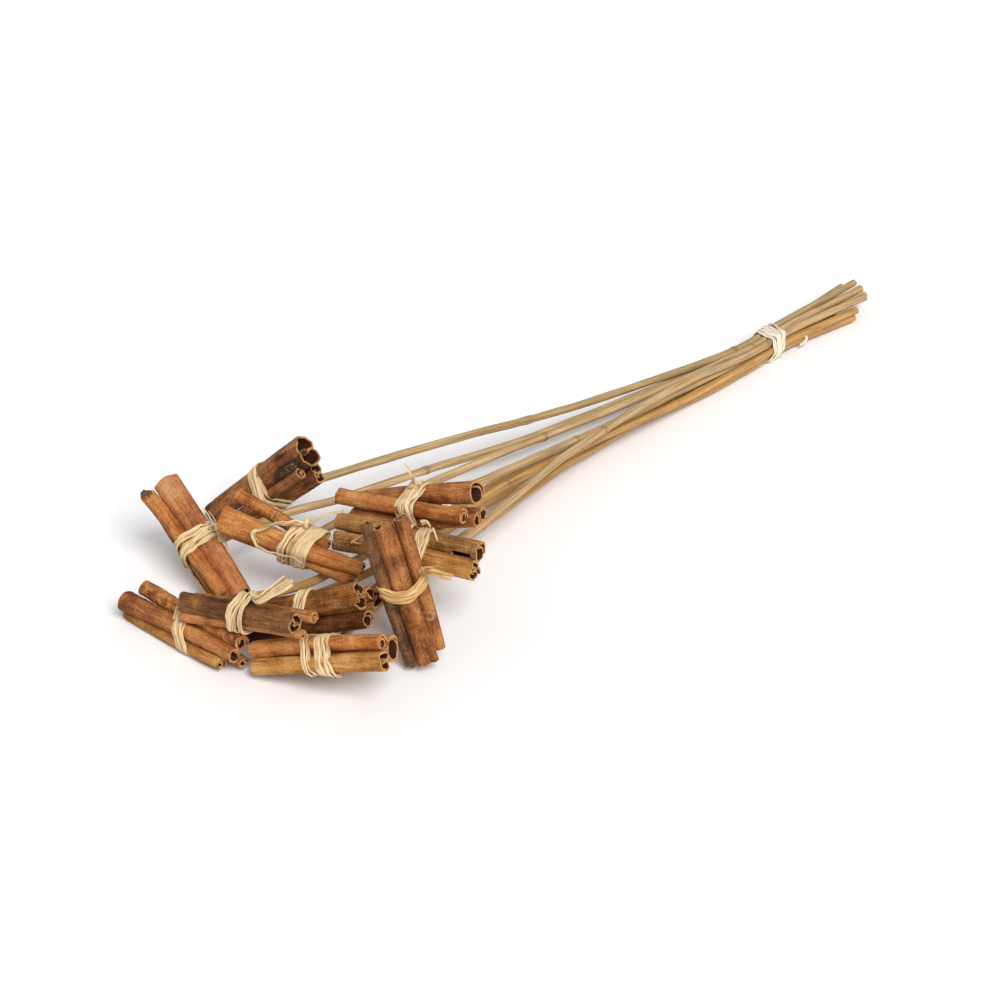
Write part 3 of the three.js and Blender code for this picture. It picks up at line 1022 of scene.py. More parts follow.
    def break_out(self, sheet: Piece, front: Vector, seed: float) -> None:
        """Removes the faces of each tear, with an uneven edge.

        Args:
            sheet: the rolled sheet.
            front: the direction away from the viewer, in the pick's axes.
            seed: makes the edge unlike the others.
        """
        in_edit_mode(
            sheet,
            lambda: bpy.ops.mesh.select_all(action="DESELECT"),
            lambda: bpy.ops.mesh.select_mode(type="FACE"),
            pick_all=False,
        )
        for polygon in sheet.data.polygons:
            along, up, shown = self.seen(polygon.center, front)
            along += 1.2 * noise.noise(polygon.center * 0.6 + Vector((seed, 0, 0)))
            up += 0.8 * noise.noise(polygon.center * 0.8 + Vector((0, seed, 0)))
            polygon.select = shown and any(tear.holds(along, up) for tear in self.tears)
        in_edit_mode(
            sheet,
            lambda: bpy.ops.mesh.delete(type="FACE"),
            lambda: bpy.ops.mesh.select_mode(type="VERT"),
            pick_all=False,
        )

    def paint(self, sheet: Piece, front: Vector, seed: float) -> None:
        """Writes the quill's stains, its darkening near the ends and the painted shade in the crease of a
        double roll, its blooms, peeled patches and scars as attributes.

        Args:
            sheet: the rolled sheet.
            front: the direction away from the viewer, in the pick's axes.
            seed: makes them unlike the others.
        """
        for paint in Paint:
            layer = sheet.data.attributes.new(paint.value, "FLOAT", "POINT")
            marks = [mark for mark in self.marks if mark.paint is paint]
            for vertex, value in zip(sheet.data.vertices, layer.data):
                along, up, shown = self.seen(vertex.co, front)
                # darker near the ends, and painted shade in the crease of a double roll
                total = self.darkening(vertex.co) if paint is Paint.STAIN_AND_SHADE else 0.0
                if shown and marks:
                    uneven = noise.noise(vertex.co * 0.7 + Vector((seed, 0, 0)))
                    total += sum(mark.share(along, up, uneven) for mark in marks)
                if paint is Paint.PEEL and self.flakes:
                    total += 0.8 * smooth(PEELED.at(along, up, seed), 0.0, 0.3)
                value.value = total

    def darkening(self, point: Vector) -> float:
        """Says how much darker a quill is near its ends, and where painted shade lies in the crease between
        the two rolls of a double quill.

        Args:
            point: a point in the pick's axes.

        Returns:
            The strength of the darkening and of the painted shade.
        """
        inside = self.matrix().inverted() @ point
        half = self.length / 2
        total = 0.3 * smooth(abs(inside.x), half - DARKENED_END, half)
        if self.form is Form.DOUBLE:
            flat = Matrix.Rotation(math.radians(-self.face), 2) @ Vector((inside.y, inside.z))
            # painted shade along the crease where the two rolls meet
            total += 0.7 * (1 - smooth(abs(flat.x), 0.4, 1.5)) if flat.y > 0 else 0.0
        return total


# ---- raffia ----

# The unevenness of a strip as it goes round a bundle, seen along the bundle.
WOBBLE = Unevenness(height=0.8, length=5, width=5, shift=3)
BREADTH = Unevenness(height=0.6, length=6, width=6, shift=5)
WARP = Unevenness(height=0.35, length=4, width=4, shift=8)
FOLD_HEIGHT = 0.5
STRIP_CROWN, TAIL_CROWN, KNOT_CROWN = 0.3, 0.25, 0.45  # how far a strip stands up in its middle


def crown(share: float, height: float) -> float:
    """Returns how high a strip stands at a share of its width: height in its middle, 0 at its edges."""
    return height * (1 - (2 * share - 1) ** 2)


@dataclass(frozen=True)
class Wrap:
    """One winding of raffia round a bundle.

    low and high say where it crosses the bundle's lower and upper side, as it is mostly seen,
    layer how many windings it lies over, and sag how far its middle hangs along the bundle.
    """

    low: float
    high: float
    width: float
    layer: float = 0.0
    sag: float = 0.0


@dataclass(frozen=True)
class Tail:
    """A loose end of raffia: the points that it passes through, its width, how far it twists in
    degrees, the share of its width that is left at its tip, and how far it is kinked."""

    points: tuple[Point, ...]
    width: float = 2.2
    twist: float = 60.0
    tip: float = 0.45
    kink: float = 0.7


@dataclass(frozen=True)
class RaffiaTie:
    """Raffia wound round a bundle and knotted."""

    wraps: tuple[Wrap, ...]
    raffia: Raffia = Raffia.CREAM
    knot: Point | None = None
    tails: tuple[Tail, ...] = ()

    def wind(self, name: str, wrap: Wrap, hull: list[Vector], front: Vector, seed: float) -> Piece:
        """Lays one winding round the bundle.

        Args:
            name: the strip's name.
            wrap: the winding.
            hull: the bundle's convex outline, seen along it.
            front: the direction away from the viewer, in the pick's axes.
            seed: makes this strip unlike the others.

        Returns:
            The strip, in millimetres.
        """
        up = cross_view(front)[1]
        out = RAFFIA_GAP + RAFFIA_THICKNESS / 2 + wrap.layer * RAFFIA_THICKNESS * LAYER_PITCH
        rim = [max(hull, key=lambda p: p.dot(ray)) + ray * out for ray in circle(1.0, RIM_STEPS)]
        length = line_length([*rim, rim[0]])
        count = int(length / RAFFIA_STEP)
        loop = spread(rim, count, closed=True)
        heights = [p.dot(up) for p in hull]
        low, high = min(heights), max(heights)
        path, normals = [], []
        for k, point in enumerate(loop):
            share = (point.dot(up) - low) / (high - low)
            along = wrap.low + (wrap.high - wrap.low) * share + crown(share, wrap.sag)
            path.append(Vector((along + WOBBLE.at(point.x, point.y, seed), point.x, point.y)))
            way = course(loop, k, closed=True)
            normals.append(Vector((0, way.y, -way.x)))

        def place(u: float, v: float) -> Vector:
            """Places a point of the flat strip once it is wound.

            Args:
                u: how far along the strip, from 0 to 1.
                v: how far across it, from 0 to 1.

            Returns:
                Where the point lies.
            """
            k = int(round(u * count)) % count
            across = course(path, k, closed=True).cross(normals[k])
            side, lift = path[k].yz
            breadth = wrap.width * (1 + BREADTH.at(side, lift, seed))
            fold_place = Vector((v * wrap.width * 1.3, seed * 9, 6 * math.sin(math.pi * u)))
            fold = FOLD_HEIGHT * noise.noise(fold_place)
            warp = (2 * v - 1) * WARP.at(side, lift, seed)
            out = crown(v, STRIP_CROWN) + fold + warp
            return path[k] + across * (v - 0.5) * breadth + normals[k] * out

        strip = flat_sheet(name, count, max(int(wrap.width / 0.25), 6))
        lay_sheet(strip, place, (length, wrap.width), seed)
        join_edges(strip)
        thicken(strip, RAFFIA_THICKNESS)
        return strip

    def trail(self, name: str, tail: Tail, front: Vector, seed: float) -> Piece:
        """Lays one loose end, narrowing to its tip.

        Args:
            name: the strip's name.
            tail: the loose end.
            front: the direction away from the viewer, in the pick's axes.
            seed: makes this strip unlike the others.

        Returns:
            The strip, in millimetres.
        """
        path = smooth_line([Vector(p) for p in tail.points])
        length = line_length(path)
        count = max(int(length / RAFFIA_STEP), 8)
        path = spread(path, count)
        for k, point in enumerate(path):
            point += drift(k * RAFFIA_STEP / 5, seed * 2) * tail.kink * smooth(k, 0, 5)

        def place(u: float, v: float) -> Vector:
            """Places a point of the flat strip.

            Args:
                u: how far along the strip, from 0 to 1.
                v: how far across it, from 0 to 1.

            Returns:
                Where the point lies.
            """
            k = int(round(u * count))
            way = course(path, k)
            turn = math.radians(tail.twist * math.sin(u * 2.2 + seed) + 12)
            across = Matrix.Rotation(turn, 3, way) @ way.cross(front).normalized()
            breadth = tail.width * (1 - (1 - tail.tip) * u)
            frayed = 0.9 * noise.noise(Vector((v * 9, seed * 3, 0))) * smooth(u, 0.8, 1.0)
            edge = path[k] + across * (v - 0.5) * breadth
            return edge + way.cross(across) * crown(v, TAIL_CROWN) + way * frayed

        strip = flat_sheet(name, count, TAIL_COLUMNS)
        lay_sheet(strip, place, (length, tail.width), seed)
        thicken(strip, RAFFIA_THICKNESS)
        return strip

    def knot_loops(self, name: str, front: Vector, seed: float) -> list[Piece]:
        """Ties the knot: small loops of strip pulled tight round one another.

        Args:
            name: the strips' first name.
            front: the direction away from the viewer, in the pick's axes.
            seed: makes this knot unlike the others.

        Returns:
            The loops, in millimetres.
        """
        middle = Vector(self.knot)
        loops = []
        for k, (lean, radius, width) in enumerate(KNOT_LOOPS):
            axis = Matrix.Rotation(math.radians(lean + seed * 40), 3, front) @ Vector((1, 0, 0))
            other = axis.cross(front).normalized()
            ring = [other * p.x + front * p.y * 0.8 for p in circle(radius, KNOT_STEPS)]

            def place(u: float, v: float) -> Vector:
                """Places a point of the flat strip on the loop.

                Args:
                    u: how far along the strip, from 0 to 1.
                    v: how far across it, from 0 to 1.

                Returns:
                    Where the point lies.
                """
                out = ring[int(round(u * KNOT_STEPS)) % KNOT_STEPS]
                pinch = 0.75 + 0.25 * math.cos(u * 4 * math.pi)
                edge = middle + out + axis * (v - 0.5) * width * pinch
                return edge + out.normalized() * crown(v, KNOT_CROWN)

            loop = flat_sheet(f"{name}_knot{k}", KNOT_STEPS, TAIL_COLUMNS)
            lay_sheet(loop, place, (radius * KNOT_GIRTH, width), seed + k)
            join_edges(loop)
            thicken(loop, RAFFIA_THICKNESS)
            loops.append(loop)
        return loops

    def build(self, name: str, outline: list[Vector], front: Vector, seed: float) -> Piece:
        """Winds and knots the whole tie.

        Args:
            name: the piece's name.
            outline: points of what it holds, seen along the bundle.
            front: the direction away from the viewer, in the pick's axes.
            seed: makes this tie unlike the others.

        Returns:
            The tie as one piece, in millimetres.
        """
        hull = [outline[k] for k in geometry.convex_hull_2d(outline)]
        strips = [
            self.wind(f"{name}_wrap{k}", wrap, hull, front, seed + k * WRAP_SEED)
            for k, wrap in enumerate(self.wraps)
        ]
        if self.knot:
            strips += self.knot_loops(name, front, seed)
        strips += [
            self.trail(f"{name}_tail{k}", tail, front, seed + k * TAIL_SEED)
            for k, tail in enumerate(self.tails)
        ]
        make_active(*strips)
        bpy.ops.object.join()
        tie = bpy.context.object
        tie.name = name
        tie.data.name = name
        tie.data.materials.append(self.raffia.value.material())
        round_off(tie, RAFFIA_CORNER)
        return tie


# ---- stems ----

REED_GIRTH = Unevenness(height=0.12, length=22, width=0.5, shift=4)  # along a reed and round it
JOINT_SWELL, JOINT_WAIST = 0.16, 0.05  # of a reed's radius, at a joint and just past it
BEND_HEIGHT, BEND_LENGTH = 0.35, 45.0


@dataclass(frozen=True)
class ReedStem:
    """One reed.

    It runs from its root in the bundle, in the pick's axes, by the points of its way and its slot
    in the tie, a row and a place in the row, to its end. joints are shares of its length.
    """

    root: Point
    way: tuple[Point, ...]
    slot: tuple[int, int]
    end: Point
    reed: Reed
    joints: tuple[float, ...]

    def path(self, head: Matrix, tie: "StemTie") -> list[Vector]:
        """Draws the stem's line.

        Args:
            head: the bundle's place.
            tie: the tie that all stems run through.

        Returns:
            The line from its bundle to its free end.
        """
        points = [head @ Vector(self.root), *(Vector(p) for p in self.way)]
        points += [tie.slot_point(self.slot, along) for along in tie.held]
        return smooth_line([*points, Vector(self.end)])

    def build(self, name: str, head: Matrix, tie: "StemTie", seed: float) -> Piece:
        """Rolls a strip round the stem's line, closes its ends and hollows out the pith.

        Args:
            name: the piece's name.
            head: the bundle's place.
            tie: the tie that all stems run through.
            seed: makes this stem unlike the others.

        Returns:
            The stem, in millimetres, in the bunch's axes.
        """
        line = self.path(head, tie)
        length = line_length(line)
        count = int(length / STEM_STEP)
        path = spread(line, count)

        def at_joints(u: float, reach: float, shift: float = 0.0) -> float:
            """Returns 1 near a joint, or next to it, and 0 far from all."""
            return sum(math.exp(-((((u - joint) * length - shift) / reach) ** 2)) for joint in self.joints)

        def place(u: float, v: float) -> Vector:
            """Places a point of the flat strip on the reed.

            Args:
                u: how far along the strip, from 0 to 1.
                v: how far across it, from 0 to 1.

            Returns:
                Where the point lies.
            """
            k = int(round(u * count))
            way = course(path, k)
            across = way.cross(Vector((0, 0, 1))).normalized()
            upright = across.cross(way)
            angle = v * 2 * math.pi
            swell = JOINT_SWELL * at_joints(u, 2.2) - JOINT_WAIST * at_joints(u, 3.0, 4.5)
            uneven = REED_GIRTH.at(u * length, math.cos(angle), seed)
            radius = STEM_DIAMETER / 2 * (0.97 + swell + uneven)
            bend = BEND_HEIGHT * smooth(u, 0.0, 0.05) * drift(u * length / BEND_LENGTH, seed * 6)
            return path[k] + bend + (across * math.cos(angle) + upright * math.sin(angle)) * radius

        stem = flat_sheet(name, count, STEM_SIDES)
        lay_sheet(stem, place, (length, math.pi * STEM_DIAMETER), seed)
        layer = stem.data.attributes.new(Paint.STAIN_AND_SHADE.value, "FLOAT", "POINT")
        for k, value in enumerate(layer.data):
            value.value = at_joints(k % (count + 1) / count, 1.6)
        join_edges(stem)
        self.close_ends(stem)
        stem.data.materials.append(self.reed.value.material())
        round_off(stem, CORNER)
        return stem

    @staticmethod
    def close_ends(stem: Piece) -> None:
        """Closes both cut ends and sinks the soft pith a little.

        Args:
            stem: the open stem.
        """
        in_edit_mode(
            stem,
            lambda: bpy.ops.mesh.select_all(action="DESELECT"),
            lambda: bpy.ops.mesh.select_mode(type="EDGE"),
            lambda: bpy.ops.mesh.select_non_manifold(extend=False),
            bpy.ops.mesh.edge_face_add,
            lambda: bpy.ops.mesh.select_mode(type="FACE"),
            lambda: bpy.ops.mesh.inset(thickness=PITH_WALL, use_individual=True),
            lambda: bpy.ops.mesh.inset(thickness=PITH_LIP, depth=-PITH_DEPTH, use_individual=True),
            lambda: bpy.ops.mesh.select_mode(type="VERT"),
            pick_all=False,
        )


@dataclass(frozen=True)
class StemTie:
    """The band of raffia that holds all the stems, and the places of the stems in it.

    The stems lie in rows, a place is a number of pitches from the middle, and held is where the
    stems start and stop to run straight.
    """

    at: Point = (233.0, 8.0, 0.0)
    heading: float = 5.0
    bottom_row: float = 4.5
    row_rise: float = 4.25
    pitch: float = 4.9
    rows: tuple[tuple[float, ...], ...] = ((1, 0, -1), (-1.5, -0.5, 0.5, 1.5), (0, 1, -1))
    held: tuple[float, float] = (-24.0, 14.0)
    tie: RaffiaTie = field(
        default_factory=lambda: RaffiaTie(
            wraps=(
                Wrap(-8.6, -3.6, 2.6, sag=1.0),
                Wrap(-6.2, -1.2, 2.8, 1, 1.6),
                Wrap(-3.8, 1.2, 2.6, sag=2.2),
                Wrap(-1.6, 3.4, 2.4, 1, 2.6),
                Wrap(-5.4, 4.6, 1.8, 2, 2.8),
                Wrap(-2.4, 10.0, 1.4, 1, 1.0),
            ),
            raffia=Raffia.PALE,
            tails=(
                Tail(
                    ((20.5, -5.0, 8.4), (25.0, -8.2, 7.8), (24.4, -10.2, 5.2), (18.5, -9.8, 3.4)),
                    1.7, 10, 0.7, 0.1,
                ),
            ),
        )
    )

    def frame(self) -> Matrix:
        """Returns the band's place in the bunch."""
        return Matrix.Translation(self.at) @ Matrix.Rotation(math.radians(self.heading), 4, "Z")

    def slot_point(self, slot: tuple[int, int], along: float) -> Vector:
        """Returns where a stem passes the band.

        Args:
            slot: the stem's row and its place in the row.
            along: how far past the band's middle.

        Returns:
            The point, in the bunch's axes.
        """
        row, place = slot
        across = self.rows[row][place] * self.pitch
        return self.frame() @ Vector((along, across, self.bottom_row + row * self.row_rise))

    def build(self, name: str, seed: float) -> Piece:
        """Winds the band round the stems.

        Args:
            name: the piece's name.
            seed: makes it unlike the other ties.

        Returns:
            The band, in millimetres.
        """
        slots = [(row, place) for row, places in enumerate(self.rows) for place in range(len(places))]
        middles = [self.frame().inverted() @ self.slot_point(slot, 0) for slot in slots]
        outline: list[Vector] = []
        for middle in middles:
            outline += circle(STEM_DIAMETER / 2, TIED_RIM_STEPS, middle.yz)
        front = self.frame().to_3x3().inverted() @ view_direction()
        return self.tie.build(name, outline, front, seed)


# ---- picks ----


@dataclass(frozen=True)
class Pick:
    """One bundle of quills, its raffia and its stem."""

    letter: str
    at: Point
    heading: float
    pitch: float
    quills: tuple[BarkQuill, ...]
    tie: RaffiaTie
    stem: ReedStem

    def frame(self) -> Matrix:
        """Returns the bundle's place in the bunch."""
        turn = Matrix.Rotation(math.radians(self.heading), 4, "Z")
        return Matrix.Translation(self.at) @ turn @ Matrix.Rotation(math.radians(-self.pitch), 4, "Y")

    def seed(self) -> float:
        """Returns the number that makes this pick unlike the others."""
        return (ord(self.letter) - ord("A")) * 1.7 + 0.4

    def build(self, stem_tie: StemTie) -> None:
        """Makes and hands over every piece of the pick.

        Args:
            stem_tie: the tie that all stems run through.
        """
        head = self.frame()
        front = head.to_3x3().inverted() @ view_direction()
        outline: list[Vector] = []
        for k, quill in enumerate(self.quills, start=1):
            piece = quill.build(f"bark_quill_{self.letter}{k}", self.seed() + k * QUILL_SEED, front)
            hand_over(piece, head, f"quill_{self.letter}{k}")
            for wrap in self.tie.wraps:
                outline += quill.ring((wrap.low + wrap.high) / 2)
        outline += circle(STEM_DIAMETER / 2, STEM_RIM_STEPS, self.stem.root[1:])
        tie = self.tie.build(f"raffia_binding_{self.letter}", outline, front, self.seed())
        hand_over(tie, head, f"raffia_tie_{self.letter}")
        stem = self.stem.build(f"reed_{self.letter}", head, stem_tie, self.seed())
        hand_over(stem, Matrix.Identity(4), f"stem_{self.letter}")
        LOG.info("pick %s: %d quills", self.letter, len(self.quills))


def hand_over(piece: Piece, matrix: Matrix, node: str) -> None:
    """Puts a finished piece in its place and ties it to the frame.

    Args:
        piece: the piece, in its own millimetres.
        matrix: its place in the bunch.
        node: the node of the same part, which it replaces.
    """
    put_in_place(piece, matrix)
    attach(piece, "root")
    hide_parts(node)


PICKS = (
    Pick(
        "A", (-111, 61, 31), -69, 43,
        quills=(
            BarkQuill(
                Form.DOUBLE, 13.2, 79, (-4, 0, 2.2), Bark.WALNUT, height=11.2, tilt=-1.8, taper=0.28,
                face=261, turns=1.5, rings=0.1, waves=0.4, ragged=(0.6, 2.2),
                marks=(Mark(Paint.STAIN_AND_SHADE, 23, -1.8, 12, 3.4, 1.7), Mark(Paint.BLOOM, 8, 4, 12, 3, 0.3)),
            ),
            BarkQuill(Form.SINGLE, 7.2, 54, (2, -7.8, -6), Bark.WALNUT, yaw=-1, tilt=-0.7, turns=2.4),
            BarkQuill(
                Form.DOUBLE, 10.4, 58, (1.3, 1.4, -10.2), Bark.WALNUT, height=7, tilt=-3.2, face=261,
                ragged=(0.6, 2.0),
            ),
        ),
        tie=RaffiaTie(
            (
                Wrap(-6.4, -2.4, 2.2), Wrap(-3.8, -1.2, 2.2, 1), Wrap(-1.0, 0.2, 2.4),
                Wrap(1.6, 1.0, 2.0, 1), Wrap(5.2, 2.2, 2.2), Wrap(-2.2, 2.2, 1.5, 2),
            ),
        ),
        stem=ReedStem(
            (-1, 7.4, -8.6), ((-64, 50, 24), (0, 38.5, 21.5), (64, 25.5, 18.5), (136, 16.5, 15.5)), (2, 1),
            (324, 17, 14.5), Reed.OLIVE, (0.36, 0.72),
        ),
    ),
    Pick(
        "B", (-172, 44, 26), -98, -28,
        quills=(
            BarkQuill(
                Form.SINGLE, 9, 73, (-3.3, -5.8, -0.7), Bark.AMBER, yaw=1.6, tilt=5.6, taper=-0.1, face=300,
                ragged=(2.6, 0.8), marks=(Mark(Paint.STAIN_AND_SHADE, -38, -6.8, 3.5, 4, 1.0),),
            ),
            BarkQuill(
                Form.DOUBLE, 12.6, 75, (-1.9, 4.2, 1.3), Bark.SIENNA, height=9.4, yaw=1.4, tilt=-1,
                taper=-0.06, face=214,
                marks=(
                    Mark(Paint.SCAR, -28.7, 4.8, 1.7, 2.6), Mark(Paint.BLOOM, -9, -1.5, 6, 2, 0.8),
                    Mark(Paint.BLOOM, 8, -1.2, 4, 1.6, 0.5),
                ),
            ),
            BarkQuill(Form.SINGLE, 5.8, 65, (-4.9, -3.4, -7.8), Bark.HONEY, yaw=-2.6, tilt=4.7, face=200),
        ),
        tie=RaffiaTie(
            (
                Wrap(-5.0, -5.9, 2.2), Wrap(-2.8, -4.2, 1.8, 1), Wrap(0.6, -2.9, 2.0),
                Wrap(2.6, -0.8, 2.0, 1), Wrap(4.6, 1.2, 2.2), Wrap(3.4, -3.6, 1.3, 2),
            ),
            knot=(5, 9.5, 8),
            tails=(
                Tail(((5, 9.5, 8), (-4, 9.5, 9), (-13, 9, 11)), 1.4, tip=0.2),
                Tail(((5, 9.5, 8), (-5, 12.5, 7), (-13, 13.5, 5.5)), 1.6, tip=0.2),
                Tail(((5, 9.5, 8), (9.5, 10, 7), (13.5, 9.5, 5)), 2.0),
            ),
        ),
        stem=ReedStem(
            (0, 9.7, -3.7),
            (
                (-116, 41, 22.5), (-86, 34, 21.5), (-25, 28, 18), (34, 19.5, 15), (96, 17, 12),
                (161, 14.5, 9.5),
            ),
            (1, 3), (318, 22, 12), Reed.PALE, (0.28, 0.83),
        ),
    ),
    Pick(
        "C", (-152, -10, 41), -71, -6,
        quills=(
            BarkQuill(
                Form.DOUBLE, 10.2, 80, (-2.2, -0.4, -0.6), Bark.AMBER, height=7, taper=-0.36, face=235,
                waves=0.2, ragged=(0.5, 1.0),
            ),
            BarkQuill(
                Form.SINGLE, 8.4, 54, (-13.4, 8.1, 4.2), Bark.COPPER, yaw=-1.9, tilt=-12, face=325,
                rings=0.12, ragged=(0.5, 0.5), marks=(Mark(Paint.SCAR, -16.5, 9.2, 1.5, 1.9),),
            ),
            BarkQuill(
                Form.SINGLE, 8.8, 77, (-3.2, 0.2, -8.3), Bark.AMBER, yaw=-2, tilt=-0.8, taper=0.05,
                face=325, ragged=(0.6, 3.2), marks=(Mark(Paint.STAIN_AND_SHADE, 34, -8, 4, 4, 0.8),),
            ),
        ),
        tie=RaffiaTie(
            (
                Wrap(-7.8, -2.8, 2.0, 1), Wrap(-5.8, -0.8, 2.2, 2), Wrap(-3.0, 1.6, 2.0, 1),
                Wrap(0.0, 3.4, 2.8), Wrap(2.4, 6.2, 3.2, 1), Wrap(4.8, 9.4, 4.6),
            ),
            knot=(1.5, 6.5, 9.5),
            tails=(
                Tail(((1.5, 6.5, 9.5), (6.5, 4.5, 14), (12, 5.5, 18), (20, 8.5, 22.5)), 2.0, tip=0.4),
                Tail(
                    (
                        (1.5, 5.5, 9.5), (-6, -2.2, 10.9), (-14.2, -4.3, 7.8), (-19.6, -6.5, 4.6),
                        (-20.4, -8.8, 1.4), (-17.1, -10.2, -0.7), (-11.8, -11.6, -0.9), (-4.6, -12.3, -0.2),
                        (2.9, -11.7, 0.6), (9.8, -11.9, 0.4),
                    ),
                    1.7, twist=80, tip=0.7, kink=1.3,
                ),
                Tail(
                    (
                        (1.5, 5.5, 10.5), (-6, -2, 12), (-13, -4.3, 9.2), (-17.5, -6.3, 6.5),
                        (-19, -8.6, 2.6), (-16.3, -10.6, 0.6),
                    ),
                    1.2, twist=80, tip=0.5, kink=1.5,
                ),
            ),
        ),
        stem=ReedStem(
            (0, 6.2, -3.7), ((-122, 0, 34), (-45, 6.5, 26), (23, 7.5, 21.5), (84, 5.5, 18.5), (150, 5, 15)),
            (2, 0), (323, 11, 13), Reed.PALE, (0.4, 0.77),
        ),
    ),
    Pick(
        "D", (-100, -31, 50), -77, 10,
        quills=(
            BarkQuill(
                Form.SINGLE, 11, 79, (-0.4, 10.4, 0.2), Bark.RUSSET, yaw=1.3, tilt=8.9, taper=0.28,
                face=331, turns=1.2, ragged=(0.8, 0.4), waves=0.2,
            ),
            BarkQuill(
                Form.SINGLE, 9.4, 77, (-0.6, -1.1, 0.1), Bark.AMBER, yaw=-0.6, tilt=-1, taper=-0.05,
                face=331, rings=0.1, ragged=(2.2, 0.7),
            ),
            BarkQuill(
                Form.DOUBLE, 13, 73, (3.7, 5.1, -7.5), Bark.RUSSET, height=7, yaw=6.2, tilt=3, face=182,
            ),
        ),
        tie=RaffiaTie(
            (
                Wrap(0.2, 0.8, 2.2), Wrap(2.2, 3.0, 2.2, 1), Wrap(4.2, 5.4, 2.2), Wrap(6.0, 7.8, 2.2, 1),
                Wrap(8.0, 10.4, 2.2), Wrap(8.8, 4.0, 1.4, 2),
            ),
            knot=(4, 7, 8.5),
            tails=(
                Tail(((4, 7, 8.5), (4.5, 6, 13), (3.5, 6, 17), (1, 7, 20)), 1.8, twist=20, tip=0.5),
                Tail(((4, 7, 8.5), (6.5, 5, 12), (6.5, 4.5, 16)), 1.2, twist=20, tip=0.4),
            ),
        ),
        stem=ReedStem(
            (0, 14.8, -8.3),
            ((-74, -24, 40), (-37, -22, 35), (16, -14.5, 27), (69, -9, 20.3), (142, -2, 14.1)), (1, 1),
            (322, 7, 10.5), Reed.PALE, (0.33, 0.7),
        ),
    ),
    Pick(
        "E", (-114, -58, 47), -71, 2,
        quills=(
            BarkQuill(
                Form.SINGLE, 11, 79, (-6.3, 0.3, 0.6), Bark.OLIVE, taper=0.07, face=328, waves=0.4,
                tears=(Tear((20, 30), (-3.5, -0.5)),), turns=1.4,
            ),
            BarkQuill(
                Form.DOUBLE, 9.8, 77, (-5, -7.3, -5.2), Bark.HONEY, height=7, taper=0.04, face=238,
                ragged=(0.8, 2.4), marks=(Mark(Paint.STAIN_AND_SHADE, -34, -9, 15, 8, 0.62),),
            ),
            BarkQuill(Form.SINGLE, 7, 71, (-3.5, -1.1, -9.4), Bark.RUSSET, yaw=-0.9, tilt=-1.4, face=328),
        ),
        tie=RaffiaTie(
            (
                Wrap(1.6, -6.6, 2.0), Wrap(2.6, -4.6, 2.0, 1), Wrap(3.2, 0.8, 2.2), Wrap(4.4, 3.2, 2.0, 1),
                Wrap(5.8, 6.0, 2.2),
            ),
            tails=(
                Tail(((3.2, -2.7, 12.6), (5.8, -2.2, 13.3), (8.6, -3.4, 11.4)), 3.0, 10, 0.2, 0.0),
                Tail(((9.8, -3.4, 11.4), (11.5, -4.6, 9.6), (13.5, -6.5, 6.5)), 0.7, 15, 0.5, 0.2),
                Tail(((-31.8, -11.7, -1.9), (-29, -10.5, 0.2), (-26.4, -9, 2.7)), 0.7, 15, 0.5, 0.1),
                Tail(((-31.4, -11.5, -1.5), (-28.5, -11.2, -1.8), (-26.5, -11, -1.6)), 0.7, 15, 0.5, 0.1),
            ),
        ),
        stem=ReedStem(
            (0, 3.9, -6.7),
            ((-78, -43, 37.5), (-30, -29.5, 31), (7, -23, 26), (65, -13, 18), (141, -5, 9.5)), (1, 0),
            (305, 0, 8), Reed.GOLD, (0.22, 0.6),
        ),
    ),
    Pick(
        "F", (-145, -79, 37), -90, -70,
        quills=(
            BarkQuill(
                Form.SINGLE, 7.8, 74, (-3.4, -4.6, -4.7), Bark.ASH, yaw=2.3, tilt=1.8, face=309, rings=0.1,
                ragged=(1.6, 1.0),
            ),
            BarkQuill(
                Form.DOUBLE, 10.4, 73, (-1.8, 1.1, 1.2), Bark.TEAK, height=8.6, yaw=2.2, tilt=1.8, face=219,
                waves=0.4, ragged=(2.0, 1.0), marks=(Mark(Paint.STAIN_AND_SHADE, -19, 0.7, 7, 3, 0.6),),
            ),
            BarkQuill(
                Form.SINGLE, 8.6, 69, (-4, 9.2, 2.8), Bark.TEAK, yaw=1.6, tilt=-0.6, face=309,
                marks=(Mark(Paint.SCAR, 12.2, 9.7, 1.7, 2.3),),
            ),
            BarkQuill(Form.STRIP, 4.4, 70, (0.7, 0.3, -5.3), Bark.ASH, yaw=-4.4, tilt=0.6, face=309),
        ),
        tie=RaffiaTie(
            (
                Wrap(-7.8, -8.8, 2.2, sag=4.2), Wrap(-6.2, -7.2, 2.2, 1, 4.6),
                Wrap(-4.8, -5.4, 2.2, sag=4.6), Wrap(-3.4, -3.8, 2.0, 1, 4.2),
                Wrap(-7.4, -4.6, 1.4, 2, 4.0),
            ),
            raffia=Raffia.GOLD, knot=(-10, 10.5, 7),
            tails=(
                Tail(
                    ((-10, 8.5, 9.5), (-10.9, 8, 16), (-7.7, 11.2, 19.5), (-5.1, 14.1, 21.9)), 2.3, 20, 0.6,
                    0.3,
                ),
                Tail(
                    ((-10, 8.5, 9.5), (-12.6, 7.7, 17.9), (-8.8, 12.5, 20.6), (-6.8, 15.2, 22.8)), 2.1, 20,
                    0.6, 0.3,
                ),
                Tail(((-10, 8.5, 9.5), (-14.4, 6, 15), (-13.2, 10, 18.5)), 1.1, tip=0.4),
            ),
        ),
        stem=ReedStem(
            (0, 6.5, -4),
            (
                (-94, -51.5, 28.5), (-61, -46.5, 29), (-22, -36.5, 28.5), (20, -25.5, 27.5),
                (58, -18.5, 26), (98, -12, 24.5), (150, -3.5, 19.2),
            ),
            (2, 2), (317, 3, 12), Reed.PALE, (0.45, 0.8),
        ),
    ),
